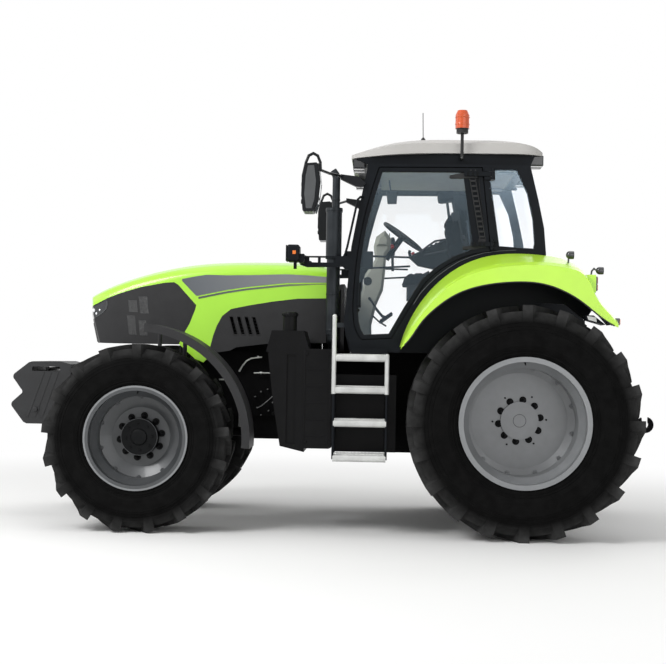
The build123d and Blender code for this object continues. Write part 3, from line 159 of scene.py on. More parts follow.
def fade(m, stops, start, end, axis="X"):
    """Lets the colour run through the given stops between two places (metres) on an axis of the tractor."""
    t = m.node_tree
    ramp = node(t, "ValToRGB", {"Fac": along(m, axis, start, end)})
    while len(ramp.color_ramp.elements) < len(stops):
        ramp.color_ramp.elements.new(0.5)
    for n, (spot, colour) in enumerate(zip(ramp.color_ramp.elements, stops)):
        spot.position = n / (len(stops) - 1)
        spot.color = srgb(colour)
    return shade(m, {"Base Color": ramp.outputs["Color"]})


def tread(name, x, z, wall, lugs, gain):
    """Tyre rubber with a painted highlight: lighter by gain from the radius wall to the radius lugs (mm) about its
    axle, standing in for the light on the lugs over a shaded side wall.
    """
    m = material(name, "101010", 0.8, spread=0.3, bump=0.35, fine=90, scale=14, **MATT)
    t = m.node_tree
    flat = maths(t, "VectorMath", "MULTIPLY", find(m, "TEX_COORD").outputs["Object"], (1, 0, 1))
    reach = maths(t, "VectorMath", "DISTANCE", flat.outputs["Vector"], P(x, 0, z)).outputs["Value"]
    share = node(t, "MapRange", {"Value": reach}, From_Min=wall / 1000, From_Max=lugs / 1000, To_Min=1.0, To_Max=gain)
    scale = maths(t, "VectorMath", "SCALE", find(m, "VALTORGB").outputs["Color"])
    wire(t, scale, {"Scale": share.outputs["Result"]})
    return shade(m, {"Base Color": scale.outputs["Vector"]})


DULL = {"Specular_IOR_Level": 0.1}
MATT = {"Specular_IOR_Level": 0.04}
PAINT = {"spread": 0.04, "coat": 0.35, "bump": 0.01, "scale": 3}
AMBER_STOPS = ("0E0E0F", "CB4E12")
STRIPE_STOPS = ("8B8D8F", "7C7E81", "686C70", "50555B")
LINE_STOPS = ("7C8A5C", "56605A", "454B4B")
MAT = {
    "green": material("bright green paint", "A9E63A", 0.3, **PAINT),
    "dark_panel": material("dark panel", "353536", 0.45, spread=0.08, bump=0.05, fine=420, **DULL),
    "lamp_glass": material("lamp body", "2A2C2F", 0.14, spread=0.08, coat=0.5),
    "cast_black": material("chassis paint", "0D0D0E", 0.5, spread=0.25, bump=0.25, fine=120, **MATT),
    "cab_black": material("cab frame paint", "121519", 0.38, spread=0.15, bump=0.05, **DULL),
    "roof_grey": material("roof", "B8B6B3", 0.5, spread=0.04, bump=0.02, scale=3),
    "glass": sky_glass("tinted glass", "CEE9FF", 0.035, 0.09),
    "seat_fabric": material("seat cloth", "1E2023", 0.9, spread=0.3, bump=0.5, fine=500, **DULL),
    "interior_plastic": material("cab trim", "3E4042", 0.6, spread=0.1, bump=0.2, fine=350, **DULL),
    "tank_plastic": material("moulded black", "101011", 0.42, spread=0.15, bump=0.12, fine=260, **DULL),
    "step_metal": material("step metal", "C4C5C3", 0.42, 0.35, spread=0.12, bump=0.3, fine=220),
    "exhaust_metal": material("graphite steel", "303336", 0.4, 0.5, spread=0.2, bump=0.1, **DULL),
    "mirror_plastic": material("mirror shell", "15171A", 0.3, spread=0.12, coat=0.2, **DULL),
    "beacon_amber": fade(material("amber lens", "C94C10", 0.2, coat=0.3), AMBER_STOPS, 3.205, 3.209, "Z"),
    "tyre": tread("tyre rubber", 0, REAR_R, 770, 880, 7.5),
    "rim_paint": material("rim paint", "808284", 0.36, 0.2, spread=0.06, bump=0.05, coat=0.2),
}
EXTRA = {  # look: (slot, material)
    "stripe": ("green", fade(material("stripe", "6C7176", 0.35, coat=0.3), STRIPE_STOPS, 0.026, 1.225)),
    "line": ("green", fade(material("thin stripe", "4C5554", 0.35, coat=0.3), LINE_STOPS, 0.026, 1.11)),
    "front_rubber": ("tyre", tread("front tyre rubber", FRONT_AXLE_X, FRONT_R, 610, 712, 6.5)),
    # the mudguards wear the bonnet's green made lighter: painted light, for the light their tops catch
    "lit_guard_green": ("green", material("mudguard green with painted light", "BDEE43", 0.3, **PAINT)),
    "column_grey": (
        "interior_plastic",
        material("column moulding", "9A9C93", 0.6, spread=0.06, bump=0.15, fine=350, **DULL),
    ),
    "amber": ("beacon_amber", material("amber ring", "C8500F", 0.2, spread=0.08, coat=0.4)),
    "near_black": ("dark_panel", material("soft black", "101011", 0.45, spread=0.1, **DULL)),
    "mesh_grey": ("dark_panel", material("mesh", "6E6F6F", 0.5, spread=0.35, scale=60)),
    "rim_grey": ("rim_paint", material("front rim paint", "484A4C", 0.38, 0.2, spread=0.08, bump=0.05, coat=0.2)),
    "bolt": ("cast_black", material("bolt steel", "101112", 0.4, 0.0, spread=0.2, bump=0.1, **DULL)),
    "bright": ("step_metal", material("zinc plate", "C4C6C2", 0.3, 0.7, spread=0.12, bump=0.08)),
    "chrome": ("lamp_glass", material("reflector", "E4E6E8", 0.08, 1.0, spread=0.03, bump=0.0)),
    "lens": ("lamp_glass", glass("clear lens", "C8D0D4", 0.22)),
    "door_glass": ("glass", sky_glass("door glass", "CEE9FF", 0.03, 0.08)),
    "mirror_glass": ("mirror_plastic", material("mirror glass", "DCE4E8", 0.03, 1.0, spread=0.02, bump=0.0)),
    "red": ("interior_plastic", material("red plastic", "B3201C", 0.3, spread=0.1, coat=0.4)),
    "orange": ("beacon_amber", material("orange reflector", "E8741A", 0.2, spread=0.1, coat=0.4)),
    "rubber": ("cab_black", material("rubber seal", "141415", 0.7, spread=0.2, bump=0.2)),
    "white": ("interior_plastic", material("white trim", "E2E3E2", 0.4, spread=0.05)),
    "screen": ("interior_plastic", material("display", "1B2A33", 0.12, spread=0.2, bump=0.0)),
    "liner": ("interior_plastic", material("headliner", "8F8B84", 0.85, spread=0.1, bump=0.4, fine=380)),
    "weight": ("cast_black", material("cast weight", "1B1C1E", 0.48, spread=0.2, bump=0.3, fine=110)),
}
LOOK_OF = {"front_weights": "weight", "rear_mudguards": "lit_guard_green"}  # nodes that don't wear their slot's look
for _, side in SIDES:
    LOOK_OF[f"front_rim_{side}"] = "rim_grey"
    LOOK_OF[f"front_tyre_{side}"] = "front_rubber"
    LOOK_OF[f"door_glass_{side}"] = "door_glass"
MAT.update({look: made for look, (_, made) in EXTRA.items()})
for name, obj in NODES.items():
    obj.data.materials.clear()
    obj.data.materials.append(MAT[LOOK_OF.get(name, SLOTS[name])])

# ---- Mesh building ----
CUBE = ((3, 2, 1, 0), (4, 5, 6, 7), (0, 1, 5, 4), (1, 2, 6, 5), (2, 3, 7, 6), (3, 0, 4, 7))


def new_object(name, data):
    obj = bpy.data.objects.new(name, data)
    bpy.context.collection.objects.link(obj)
    return obj


def at_y(points, y):
    """Places (metres) from a side-view line of (x, z)."""
    return [P(x, y, z) for x, z in points]


class Piece:
    """Collects simple solids, given in millimetres ahead of the rear axle, into one mesh."""

    def __init__(self):
        self.bm = bmesh.new()

    def add(self, verts, faces):
        made = [self.bm.verts.new(v) for v in verts]
        for f in faces:
            self.bm.faces.new([made[i] for i in f])
        return self

    def take(self, part):
        table = {v: self.bm.verts.new(v.co) for v in part.verts}
        for f in part.faces:
            self.bm.faces.new([table[v] for v in f.verts])
        part.free()
        return self

    def box(self, x, y, z, edge=0.0):
        lo, hi = P(x[0], y[0], z[0]), P(x[1], y[1], z[1])
        corners = ((lo.x, lo.y), (hi.x, lo.y), (hi.x, hi.y), (lo.x, hi.y))
        verts = [Vector((a, b, c)) for c in (lo.z, hi.z) for a, b in corners]
        if not edge:
            return self.add(verts, CUBE)
        part = Piece().add(verts, CUBE).bm
        bmesh.ops.bevel(part, geom=list(part.edges), offset=edge / 1000, segments=2, affect="EDGES", profile=0.6)
        return self.take(part)

    def ring(self, at, u, v, radius, count):
        turns = [2 * math.pi * n / count for n in range(count)]
        return [self.bm.verts.new(at + (u * math.cos(a) + v * math.sin(a)) * (radius / 1000)) for a in turns]

    def skin(self, rings, count):
        """Faces between rings of count points, or of one point at a pole."""
        for a, b in zip(rings, rings[1:]):
            if len(a) == 1 and len(b) == 1:
                continue
            for n in range(count):
                m = (n + 1) % count
                if len(a) == 1:
                    self.bm.faces.new((a[0], b[n], b[m]))
                elif len(b) == 1:
                    self.bm.faces.new((a[n], a[m], b[0]))
                else:
                    self.bm.faces.new((a[n], a[m], b[m], b[n]))
        return self

    def lathe(self, centre, axis, profile, count=32):
        """Turns (radius, height) pairs, in millimetres, about an axis through centre (metres)."""
        axis = Vector(axis).normalized()
        u = axis.orthogonal().normalized()
        v = axis.cross(u)
        rings = []
        for r, h in profile:
            at = Vector(centre) + axis * (h / 1000)
            rings.append([self.bm.verts.new(at)] if r < 1e-6 else self.ring(at, u, v, r, count))
        return self.skin(rings, count)

    def disc(self, centre, axis, radius, thick, count=24, edge=0.0):
        """A round solid standing on centre, with an optional rounded edge."""
        profile = [(0, 0), (radius, 0), (radius, thick - edge), (radius - edge, thick), (0, thick)]
        return self.lathe(centre, axis, profile, count)

    def bolt(self, centre, axis, across, tall, washer=True):
        """Hexagon head, with its washer."""
        foot = tall * 0.2
        if washer:
            self.lathe(centre, axis, [(across * 0.95, 0), (across * 0.95, foot), (0, foot)], 16)
        head = [(across * 0.62, foot), (across * 0.62, tall * 0.85), (across * 0.5, tall), (0, tall)]
        return self.lathe(centre, axis, head, 6)

    def tube(self, points, radius, count=10, caps=True):
        """A round bar through points (metres), with smoothed bends."""
        points = [Vector(p) for p in points]
        u, rings = None, []
        for n, p in enumerate(points):
            t = (points[min(len(points) - 1, n + 1)] - points[max(0, n - 1)]).normalized()
            if u is None:
                u = t.orthogonal().normalized()
            u = (u - t * u.dot(t)).normalized()
            rings.append(self.ring(p, u, t.cross(u), radius, count))
        self.skin(rings, count)
        if caps:
            self.bm.faces.new(rings[0][::-1])
            self.bm.faces.new(rings[-1])
        return self

    def strip(self, rows, thick, out):
        """A thin sheet over rows of points (metres), given its thickness along out."""
        out = Vector(out).normalized() * (thick / 1000)
        grid = [[self.bm.verts.new(p) for p in row] for row in rows]
        top = [[self.bm.verts.new(Vector(p) + out) for p in row] for row in rows]
        edges = []
        for g in (grid, top):
            for a, b in zip(g, g[1:]):
                for n in range(len(a) - 1):
                    self.bm.faces.new((a[n], a[n + 1], b[n + 1], b[n]))
            edges.append(g[0] + [r[-1] for r in g[1:]] + g[-1][-2::-1] + [r[0] for r in g[-2:0:-1]])
        rim, cap = edges
        for n in range(len(rim)):
            m = (n + 1) % len(rim)
            self.bm.faces.new((rim[n], rim[m], cap[m], cap[n]))
        return self

    def prism(self, rings):
        """A solid through rings of points that all have the same count."""
        self.bm.faces.new(rings[0])
        self.bm.faces.new(rings[-1][::-1])
        for a, b in zip(rings, rings[1:]):
            for n in range(len(a)):
                m = (n + 1) % len(a)
                self.bm.faces.new((a[n], b[n], b[m], a[m]))
        return self

    def plate(self, outline, y0, y1):
        """A flat plate from a side-view outline of (x, z), between two Y planes."""
        return self.prism([[self.bm.verts.new(P(x, y, z)) for x, z in outline] for y in (y0, y1)])

    def moulded(self, outline, half, edge, y=0.0):
        """A thick plate from a side-view outline of (x, z), with chamfered edges, half wide each way from y."""
        rings = []
        for where, depth in ((-half, edge), (edge - half, 0), (half - edge, 0), (half, edge)):
            line = inset(outline, depth) if depth else outline
            rings.append([self.bm.verts.new(P(x, y + where, z)) for x, z in line])
        return self.prism(rings)

    def mirrored(self):
        """Adds the image of everything so far on the other side of the tractor."""
        part = self.bm.copy()
        bmesh.ops.scale(part, vec=(1, -1, 1), verts=part.verts)
        bmesh.ops.reverse_faces(part, faces=part.faces)
        return self.take(part)

    def pair(self, name, look):
        return self.mirrored().make(name, look)

    def make(self, name, look, body="tractor", smooth=40.0):
        bmesh.ops.recalc_face_normals(self.bm, faces=self.bm.faces)
        name = name.replace(" ", "_")
        mesh = bpy.data.meshes.new(name)
        self.bm.to_mesh(mesh)
        self.bm.free()
        obj = new_object(name, mesh)
        mesh.materials.append(MAT[look])
        if smooth:
            mesh.shade_smooth()
            mesh.set_sharp_from_angle(angle=math.radians(smooth))
        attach(obj, body)
        return obj


def inset(points, amount):
    """Corners of a side-view polygon drawn in."""
    cx = sum(p[0] for p in points) / len(points)
    cz = sum(p[1] for p in points) / len(points)
    out = []
    count = len(points)
    area = sum(a[0] * b[1] - b[0] * a[1] for a, b in zip(points, points[1:] + points[:1]))
    turn = -1 if area > 0 else 1
    for n, (x, z) in enumerate(points):
        ns = []
        for a, b in ((points[n - 1], (x, z)), ((x, z), points[(n + 1) % count])):
            d = math.hypot(b[0] - a[0], b[1] - a[1])
            ns.append((turn * (b[1] - a[1]) / d, -turn * (b[0] - a[0]) / d))
        s = amount / (1 + ns[0][0] * ns[1][0] + ns[0][1] * ns[1][1])
        out.append((x + s * (ns[0][0] + ns[1][0]), z + s * (ns[0][1] + ns[1][1])))
    return out


def tree(*names):
    """One search tree over CAD nodes."""
    verts, polys = [], []
    for n in names:
        mesh = NODES[n].data
        start = len(verts)
        verts += [v.co.copy() for v in mesh.vertices]
        polys += [[start + i for i in p.vertices] for p in mesh.polygons]
    return BVHTree.FromPolygons(verts, polys)


def land(bvh, x, z, hand, stand=1.2):
    """The point on a side surface at (x, z), stood off by a little, seen from the side that hand gives."""
    start = P(x, hand * 2000, z)
    hit, normal, _, _ = bvh.ray_cast(start, Vector((0, -hand, 0)))
    if hit is None:
        return None
    if normal.y * hand < 0:
        normal = -normal
    return hit + normal * (stand / 1000)


def lerp(points, x):
    """z at x along a list of (x, z) sorted by x."""
    if x <= points[0][0]:
        return points[0][1]
    for (a, za), (b, zb) in zip(points, points[1:]):
        if x <= b:
            return za + (zb - za) * (x - a) / (b - a)
    return points[-1][1]


# ---- Wheels ----
def around(centre, axis, radius, count, start=0.0):
    """Places on a circle about an axis."""
    axis = Vector(axis)
    u = Vector((1, 0, 0))
    w = axis.cross(u)
    for n in range(count):
        a = start + 2 * math.pi * n / count
        yield Vector(centre) + (u * math.cos(a) + w * math.sin(a)) * (radius / 1000)


def wheel_trim(where, side, hand):
    """Nuts, cap, studs, valve, the rim's bright edge and the tyre's side ribs."""
    body = f"{where}_wheel_{side}"
    lo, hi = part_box(f"{where}_tyre_{side}")
    rim_lo, rim_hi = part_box(f"{where}_rim_{side}")
    mid = (lo + hi) / 2
    rear = where == "rear"
    axis = Vector((0, hand, 0))
    disc_y = mid.y * 1000 - hand * (238 if rear else 40)

    def at(y):
        return Vector((mid.x, y / 1000, mid.z))

    def off_disc(y):
        return at(disc_y + hand * y)

    nuts = Piece()
    for p in around(off_disc(0), axis, 167, 10, 0.16):
        nuts.bolt(p, axis, 30, 26)
        nuts.lathe(p, axis, [(13, 22), (12, 34), (7, 42), (0, 44)], 12)
    if rear:
        for p in around(off_disc(0), axis, 213, 6, 0.05):
            nuts.bolt(p, axis, 13, 10, False)
        nuts.lathe(off_disc(23), axis, [(52, 0), (52, 3), (49, 3), (49, 0)], 40)
    else:
        cap = [(147, 0), (147, 84), (138, 97), (66, 101), (60, 113), (48, 118), (0, 118)]
        nuts.lathe(off_disc(0), axis, cap, 48)
        for p in around(off_disc(99), axis, 104, 8, 0.1):
            nuts.bolt(p, axis, 16, 11)
    nuts.make(f"{body} nuts", "bolt", body)
    seat = 482.6 if rear else 381.0  # bead seat radius
    studs = Piece()
    for p in around(off_disc(46), axis, seat - 62, 12 if rear else 10, 0.3):
        studs.disc(p, axis, 17, 14, 14, 4)
    studs.make(f"{body} disc studs", "rim_paint" if rear else "rim_grey", body)
    valve = Piece()
    p = mid + Vector((0.0, (hand * (150 if rear else 130)) / 1000, (seat - 18) / 1000))
    valve.lathe(p, Vector((0, hand, -0.4)), [(0, 0), (6, 0), (6, 30), (4, 34), (4, 46), (0, 46)], 10)
    valve.make(f"{body} valve", "bolt", body)
    flange = Piece()
    fr = seat + 25
    edge = [(fr - 2, -3), (fr + 1.5, -3), (fr + 1.5, 1.5), (fr - 13, 1.5), (fr - 13, 0), (fr - 2, -3)]
    flange.lathe(at((rim_hi.y if hand > 0 else rim_lo.y) * 1000), axis, edge, 72)
    flange.make(f"{body} rim edge", "rim_paint", body)
    ribs = Piece()
    half_w, rim_half, wall = (310, 262, 905 - 46 - fr) if rear else (260, 236, 732 - 38 - fr)
    # the side wall's half width, by the share of the way from the flange to the tread's base
    bulge = ((0.0, rim_half - 14), (0.25, half_w - 8), (0.55, half_w), (0.84, half_w - 24), (1.0, half_w - 70))
    for share, wide, tall in ((0.10, 9, 5), (0.16, 5, 4), (0.60, 6, 4), (0.68, 5, 3), (0.76, 6, 4)):
        r = fr + share * wall
        rib = [(r - wide, 0), (r - wide * 0.5, tall + 2), (r + wide * 0.5, tall + 2), (r + wide, 0)]
        ribs.lathe(at(mid.y * 1000 + hand * (lerp(bulge, share) - 2)), axis, rib, 96)
    ribs.make(f"{body} side ribs", "tyre" if rear else "front_rubber", body)


for where in ("rear", "front"):
    for hand, side in SIDES:
        wheel_trim(where, side, hand)


# ---- Bonnet: stripes, louvres, mesh, grille, lamps ----
HOOD = tree("hood", "hood_front_panel", "hood_rear_panels")


def band(name, look, top, low, x0, x1, hand, steps=40, rows=5):
    """A stripe on the bonnet's side between two lines of (x, z)."""
    grid = []
    for n in range(steps + 1):
        x = x0 + (x1 - x0) * n / steps
        zt, zl = lerp(top, x), lerp(low, x)
        grid.append([land(HOOD, x, zl + (zt - zl) * k / rows, hand) for k in range(rows + 1)])
    Piece().strip(grid, 0.8, (0, hand, 0.15)).make(name, look, "hood", 60)


STRIPE_TOP = [(1564, 2043), (1737, 2054), (1902, 2060), (2149, 2050), (2397, 2044), (2562, 2046), (2645, 2033)]
STRIPE_LOW = [(1563, 1996), (1737, 1992), (1901, 1987), (2065, 1968), (2230, 1948), (2395, 1921), (2642, 1868)]
LINE_LOW = [(1563, 1982), (1655, 1978), (1900, 1960), (2065, 1942), (2229, 1922), (2395, 1895), (2641, 1841)]
for hand, side in SIDES:
    top, low = STRIPE_TOP + [(2777, 2006)], STRIPE_LOW + [(2777, 2004)]
    band(f"stripe {side}", "stripe", top, low, 1566, 2765, hand, steps=80)
    dark_top = [(x, z - 10) for x, z in STRIPE_LOW]
    band(f"stripe line {side}", "line", dark_top, LINE_LOW, 1566, 2625, hand, rows=2)
    louvres = Piece()
    for n in range(4):
        x = 2110 + 62 * n
        for k in range(5):
            z = 1572 + 26 * k
            xx = x + (z - 1560) * 40 / 140
            p = land(HOOD, x - 10, z, hand, -10)
            if p:
                y = p.y * 1000
                louvres.box((xx + 1, xx + 25), sorted((y - hand * 4, y + hand * 4)), (z, z + 5))
    louvres.make(f"louvre slats {side}", "near_black", "hood")
    rims = Piece()
    for n in range(4):
        x = 2110 + 62 * n
        pts = [(x - 5, 1554), (x + 27, 1554), (x + 72, 1706), (x + 39, 1706)]
        rim = []
        for (xa, za), (xb, zb) in zip(pts, pts[1:] + pts[:1]):
            for k in range(6):
                rim.append(land(HOOD, xa + (xb - xa) * k / 6, za + (zb - za) * k / 6, hand, 0.5))
        rims.tube(rim + [rim[0]], 3.4, 6, False)
    rims.make(f"louvre rims {side}", "dark_panel", "hood")

# fine mesh let into the nose's dark panels: (x0, x1, z0, z1)
MESHES = [(3036, 3106, 1718, 1858), (3040, 3104, 1536, 1660), (3128, 3200, 1728, 1826), (3132, 3198, 1542, 1700)]
for hand, side in SIDES:
    wires = Piece()
    for x0, x1, z0, z1 in MESHES:
        rows, columns = round((z1 - z0) / 8), round((x1 - x0) / 8)
        for j in range(rows):
            z = z0 + (j + 0.5) * (z1 - z0) / rows
            for i in range(columns):
                x = x0 + (i + 0.5 + 0.5 * (j % 2)) * (x1 - x0) / columns + 0.12 * (z - z0)
                wires.lathe(land(HOOD, x, z, hand, 0.4), (0, hand, 0.1), [(0, 1.0), (1.8, 0.8), (2.7, 0)], 5)
    wires.make(f"mesh dots {side}", "mesh_grey", "hood")

# nose grille: slats and bars across the front
NOSE = tree("hood_front_panel", "hood", "headlamps")


def on_nose(y, z):
    hit, _, _, _ = NOSE.ray_cast(P(4500, y, z), Vector((-1, 0, 0)))
    return hit + Vector((0.001, 0, 0))


grille = Piece()
for z in range(1482, 1633, 15):
    grille.tube([on_nose(y, z) for y in range(-285, 286, 15)], 3.2, 6)
for y in (-190, -95, 0, 95, 190):
    grille.tube([on_nose(y, z) for z in range(1478, 1640, 12)], 4.0, 6)
grille.make("grille slats", "near_black", "hood")

for hand, side in SIDES:
    glow = Piece()
    for x, z, r in ((3512, 1738, 15), (3488, 1712, 11), (3460, 1742, 9)):
        glow.lathe(land(NOSE, x, z, hand, 0.3), (0.6, hand, 0.1), [(0, 2), (r * 0.5, 1.6), (r, 0)], 18)
    glow.make(f"headlamp reflectors {side}", "chrome", "hood")
    curve = [(3397, 1818), (3393, 1788), (3402, 1752), (3424, 1724), (3455, 1702), (3486, 1684)]
    line = [land(NOSE, x, z, hand, 0.6) for x, z in curve]
    Piece().tube(line, 4.2, 8).make(f"headlamp rims {side}", "rim_grey", "hood")


# ---- Cab: glass seals, lamps, wiper, door furniture ----
def lamp(rims, lenses, bowls, x, y, z, facing):
    """Box lamp details on the face at x that looks along facing (+1 forward, -1 back): rim, lens and bowls."""
    (y0, y1), (z0, z1) = y, z
    deep, tall = sorted((x - 2 * facing, x + 6 * facing)), (z0 + 4, z1 - 4)
    rims.box(deep, (y0 + 2, y0 + 9), tall).box(deep, (y1 - 9, y1 - 2), tall)
    rims.box(deep, (y0 + 9, y1 - 9), (z0 + 4, z0 + 10)).box(deep, (y0 + 9, y1 - 9), (z1 - 10, z1 - 4))
    lenses.box(sorted((x + facing, x + 3.5 * facing)), (y0 + 9, y1 - 9), (z0 + 10, z1 - 10))
    width, height = y1 - y0 - 22, z1 - z0 - 22
    count = max(1, round(width / height))
    r = min(height / 2, width / count / 2) - 1
    bowl = [(0, 0.2), (r * 0.3, 0.25), (r * 0.45, 1.6), (r, 2.2), (r, 0), (0, 0)]
    for n in range(count):
        at = P(x + 0.2 * facing, y0 + 11 + width * (n + 0.5) / count, (z0 + z1) / 2)
        bowls.lathe(at, (facing, 0, 0), bowl, 20)


rims, lenses, bowls = Piece(), Piece(), Piece()
for y in (520, 690):
    lamp(rims, lenses, bowls, 1352, (y - 62, y + 62), (2896, 2972), 1)
for y in (560, 700):
    lamp(rims, lenses, bowls, -150, (y - 55, y + 55), (2934, 3018), -1)
lamp(rims, lenses, bowls, 1859, (862, 1038), (2128, 2258), 1)
for x, z, r in ((-369, 2210, 28), (-599, 2092, 26)):
    face = P(x, 1000, z)
    bowls.lathe(face, (-1, 0, 0), [(0, 0.3), (r * 0.3, 0.4), (r * 0.5, 1.4), (r * 0.9, 2.2), (r * 0.9, 0)], 24)
    rims.lathe(face, (-1, 0, 0), [(r * 0.9, 0), (r * 0.9, 5), (r * 1.05, 5), (r * 1.05, 0)], 24)
rims.pair("lamp rims", "cab_black")
lenses.pair("lamp lenses", "lens")
bowls.pair("lamp bowls", "chrome")

Piece().box((1786, 1812), (1039, 1043), (2184, 2212), 2).pair("side reflectors", "orange")
Piece().box((-553, -547), (948, 1072), (1988, 2036), 2).pair("upper tail lenses", "red")
Piece().box((-553, -547), (948, 1072), (1936, 1980), 2).pair("upper turn lenses", "orange")
under = Piece()
under.plate([(-458, 1742), (-472, 1704), (-600, 1668), (-612, 1672), (-520, 1742)], 930, 1092)
under.pair("tail lamp housings", "cab_black")
under = Piece()
under.plate([(-470, 1736), (-480, 1708), (-545, 1690), (-540, 1728)], 1091, 1094)
under.pair("tail lamp side lenses", "white")
Piece().box((-722, -715), (936, 1030), (1674, 1716), 3).pair("tail lenses", "red")
Piece().box((-722, -715), (1034, 1114), (1674, 1716), 3).pair("turn lenses", "orange")

# windscreen wiper
wiper = Piece()
SCREEN = tree("windscreen")


def on_screen(y, z, stand):
    hit, _, _, _ = SCREEN.ray_cast(P(2500, y, z), Vector((-1, 0, 0)))
    return hit + Vector((stand / 1000, 0, stand / 4000))


wiper.lathe(on_screen(0, 2850, 6), (1, 0, 0.2), [(0, 0), (16, 0), (16, 14), (8, 20), (0, 20)], 16)
arm, blade = ((0, 2850), (-120, 2780), (-260, 2690), (-330, 2640)), ((-560, 2660), (-440, 2650), (-330, 2640))
blade += ((-220, 2628), (-100, 2614))
wiper.tube([on_screen(y, z, 20) for y, z in arm], 5, 8).tube([on_screen(y, z, 9) for y, z in blade], 5, 6)
wiper.make("wiper", "rubber")

# seals round the door glass and quarter glass
DOOR = [(338, 2898), (1144, 2892), (1208, 2690), (1277, 2424), (1316, 2187), (1330, 1892), (1334, 1770), (1324, 1664)]
DOOR += [(1302, 1590), (1264, 1532), (1032, 1546), (912, 1760), (776, 1984), (670, 2080), (538, 2166)]
DOOR += [(400, 2220), (262, 2244)]


for hand, side in SIDES:
    seal = Piece()
    ring = at_y(inset(DOOR, 30), hand * 832)
    seal.tube(ring + [ring[0]], 5, 6, False)
    seal.make(f"door glass seal {side}", "rubber", f"door_{side}")
    bits = Piece()
    for z, x in ((2296, 284), (2850, 346)):
        for dx in (28, 62, 100):
            for dz in (-8, 8):
                bits.bolt(P(x + dx, hand * 874, z + dz), (0, hand, 0), 9, 6)
    bits.disc(P(1296, hand * 851, 1760), (0, hand, 0), 12, 6, 20, 2)
    bits.make(f"door bolts {side}", "bolt", f"door_{side}")
    inner = Piece()
    for bar in (((1230, 2193), (882, 2187)), ((1230, 2098), (1089, 2104), (891, 2117))):
        inner.tube(at_y(bar, hand * 797), 8, 10)
        inner.tube([P(bar[-1][0] + 4, hand * 797, bar[-1][1]), P(bar[-1][0] + 4, hand * 823, bar[-1][1])], 6, 8)
    inner.box((1185, 1288), sorted((hand * 772, hand * 811)), (2090, 2231), 8)
    inner.disc(P(1225, hand * 823, 1992), (0, -hand, 0), 34, 30, 28, 6)
    inner.make(f"door inner pull {side}", "cab_black", f"door_{side}")
UPPER_HINGE = [(366, 2896), (442, 2898), (450, 2868), (590, 2840), (590, 2814), (372, 2818)]
LOWER_HINGE = [(284, 2262), (352, 2262), (360, 2252), (480, 2252), (480, 2276), (366, 2290), (352, 2342), (284, 2340)]
HINGE_BOLTS = [(388, 2836), (388, 2880), (424, 2880), (424, 2836), (566, 2828)]
HINGE_BOLTS += [(302, 2328), (336, 2328), (302, 2278), (336, 2278), (458, 2264)]
# a lighter grey bar along the dark band under the door glass: a painted highlight on the door seal
BELT_HIGHLIGHT = [(860, 1812), (805, 1903), (738, 1978), (672, 2041), (590, 2103)]
BELT_HIGHLIGHT += [(506, 2156), (410, 2197), (316, 2226), (190, 2244), (59, 2253)]
quarter = [(286, 2890), (60, 2890), (-30, 2702), (-76, 2498), (-92, 2310), (-80, 2262), (196, 2280)]
seal = Piece()
ring = at_y(inset(quarter, 4), 822)
seal.tube(ring + [ring[0]], 5, 6, False)
for hand, side in SIDES:
    plates = Piece()
    plates.moulded(UPPER_HINGE, 5, 2, hand * 841)
    plates.moulded(LOWER_HINGE, 5, 2, hand * 841)
    for x, z in HINGE_BOLTS:
        plates.bolt(P(x, hand * 846, z), (0, hand, 0), 12, 7)
    plates.make(f"hinge plates {side}", "dark_panel", f"door_{side}")
    strip = Piece()
    strip.plate([(300, 2270), (403, 2318), (480, 2822), (488, 2880), (330, 2880)], hand * 830.5, hand * 834)
    strip.make(f"stile strip {side}", "cab_black", f"door_{side}")
    rungs = Piece()
    for n in range(12):
        z = 2356 + 40 * n
        x = 322 + (z - 2341) * 86 / 474
        rungs.box((x - 15, x + 20), sorted((hand * 833, hand * 853)), (z - 7, z + 7), 2)
    for shift in (-20, 24):
        ends = [P(x + shift, hand * 848, z) for x, z in ((322, 2341), (408, 2815))]
        rungs.tube(ends, 4, 6)
    rungs.make(f"stile rungs {side}", "dark_panel", f"door_{side}")
    gap = Piece()
    outer, inner_line = inset(DOOR, -16), inset(DOOR, 14)
    for n in range(len(DOOR)):
        m = (n + 1) % len(DOOR)
        corners = [(outer[n], 803), (outer[m], 803), (inner_line[m], 803), (inner_line[n], 803)]
        corners += [(c, 809) for c, _ in corners]
        gap.add(
            [P(c[0], hand * y, c[1]) for c, y in corners],
            ((0, 1, 2, 3), (7, 6, 5, 4), (0, 4, 5, 1), (2, 6, 7, 3)),
        )
    gap.make(f"door gap seal {side}", "rubber")
    Piece().tube(at_y(BELT_HIGHLIGHT, hand * 851), 3.5, 6).make(f"belt line {side}", "rim_grey")
seal.pair("quarter seals", "rubber")

# antenna and beacon
mast = Piece()
mast.tube([P(790, 300, 3180), P(795, 300, 3425)], 3.2, 8)
mast.lathe(P(790, 300, 3190), (0, 0, 1), [(0, 0), (22, 0), (18, 16), (6, 30), (0, 30)], 20)
mast.make("antenna", "rubber")
sleeve = Piece()
sleeve.tube([P(497, 860, 2990), P(497, 860, 3170)], 12.8, 16)
sleeve.lathe(P(497, 860, 3166), (0, 0, 1), [(30, 0), (46.8, 4), (46.8, 38), (30, 38)], 36)
sleeve.make("beacon sleeve", "rubber")
bead = Piece()
bead.lathe(P(497, 860, 3236), (0, 0, 1), [(57.5, 0), (59, 5), (57.5, 10)], 40)
bead.lathe(P(497, 860, 3290), (0, 0, 1), [(57.5, 0), (59, 4), (57.5, 8)], 40)
bead.make("beacon rings", "amber")

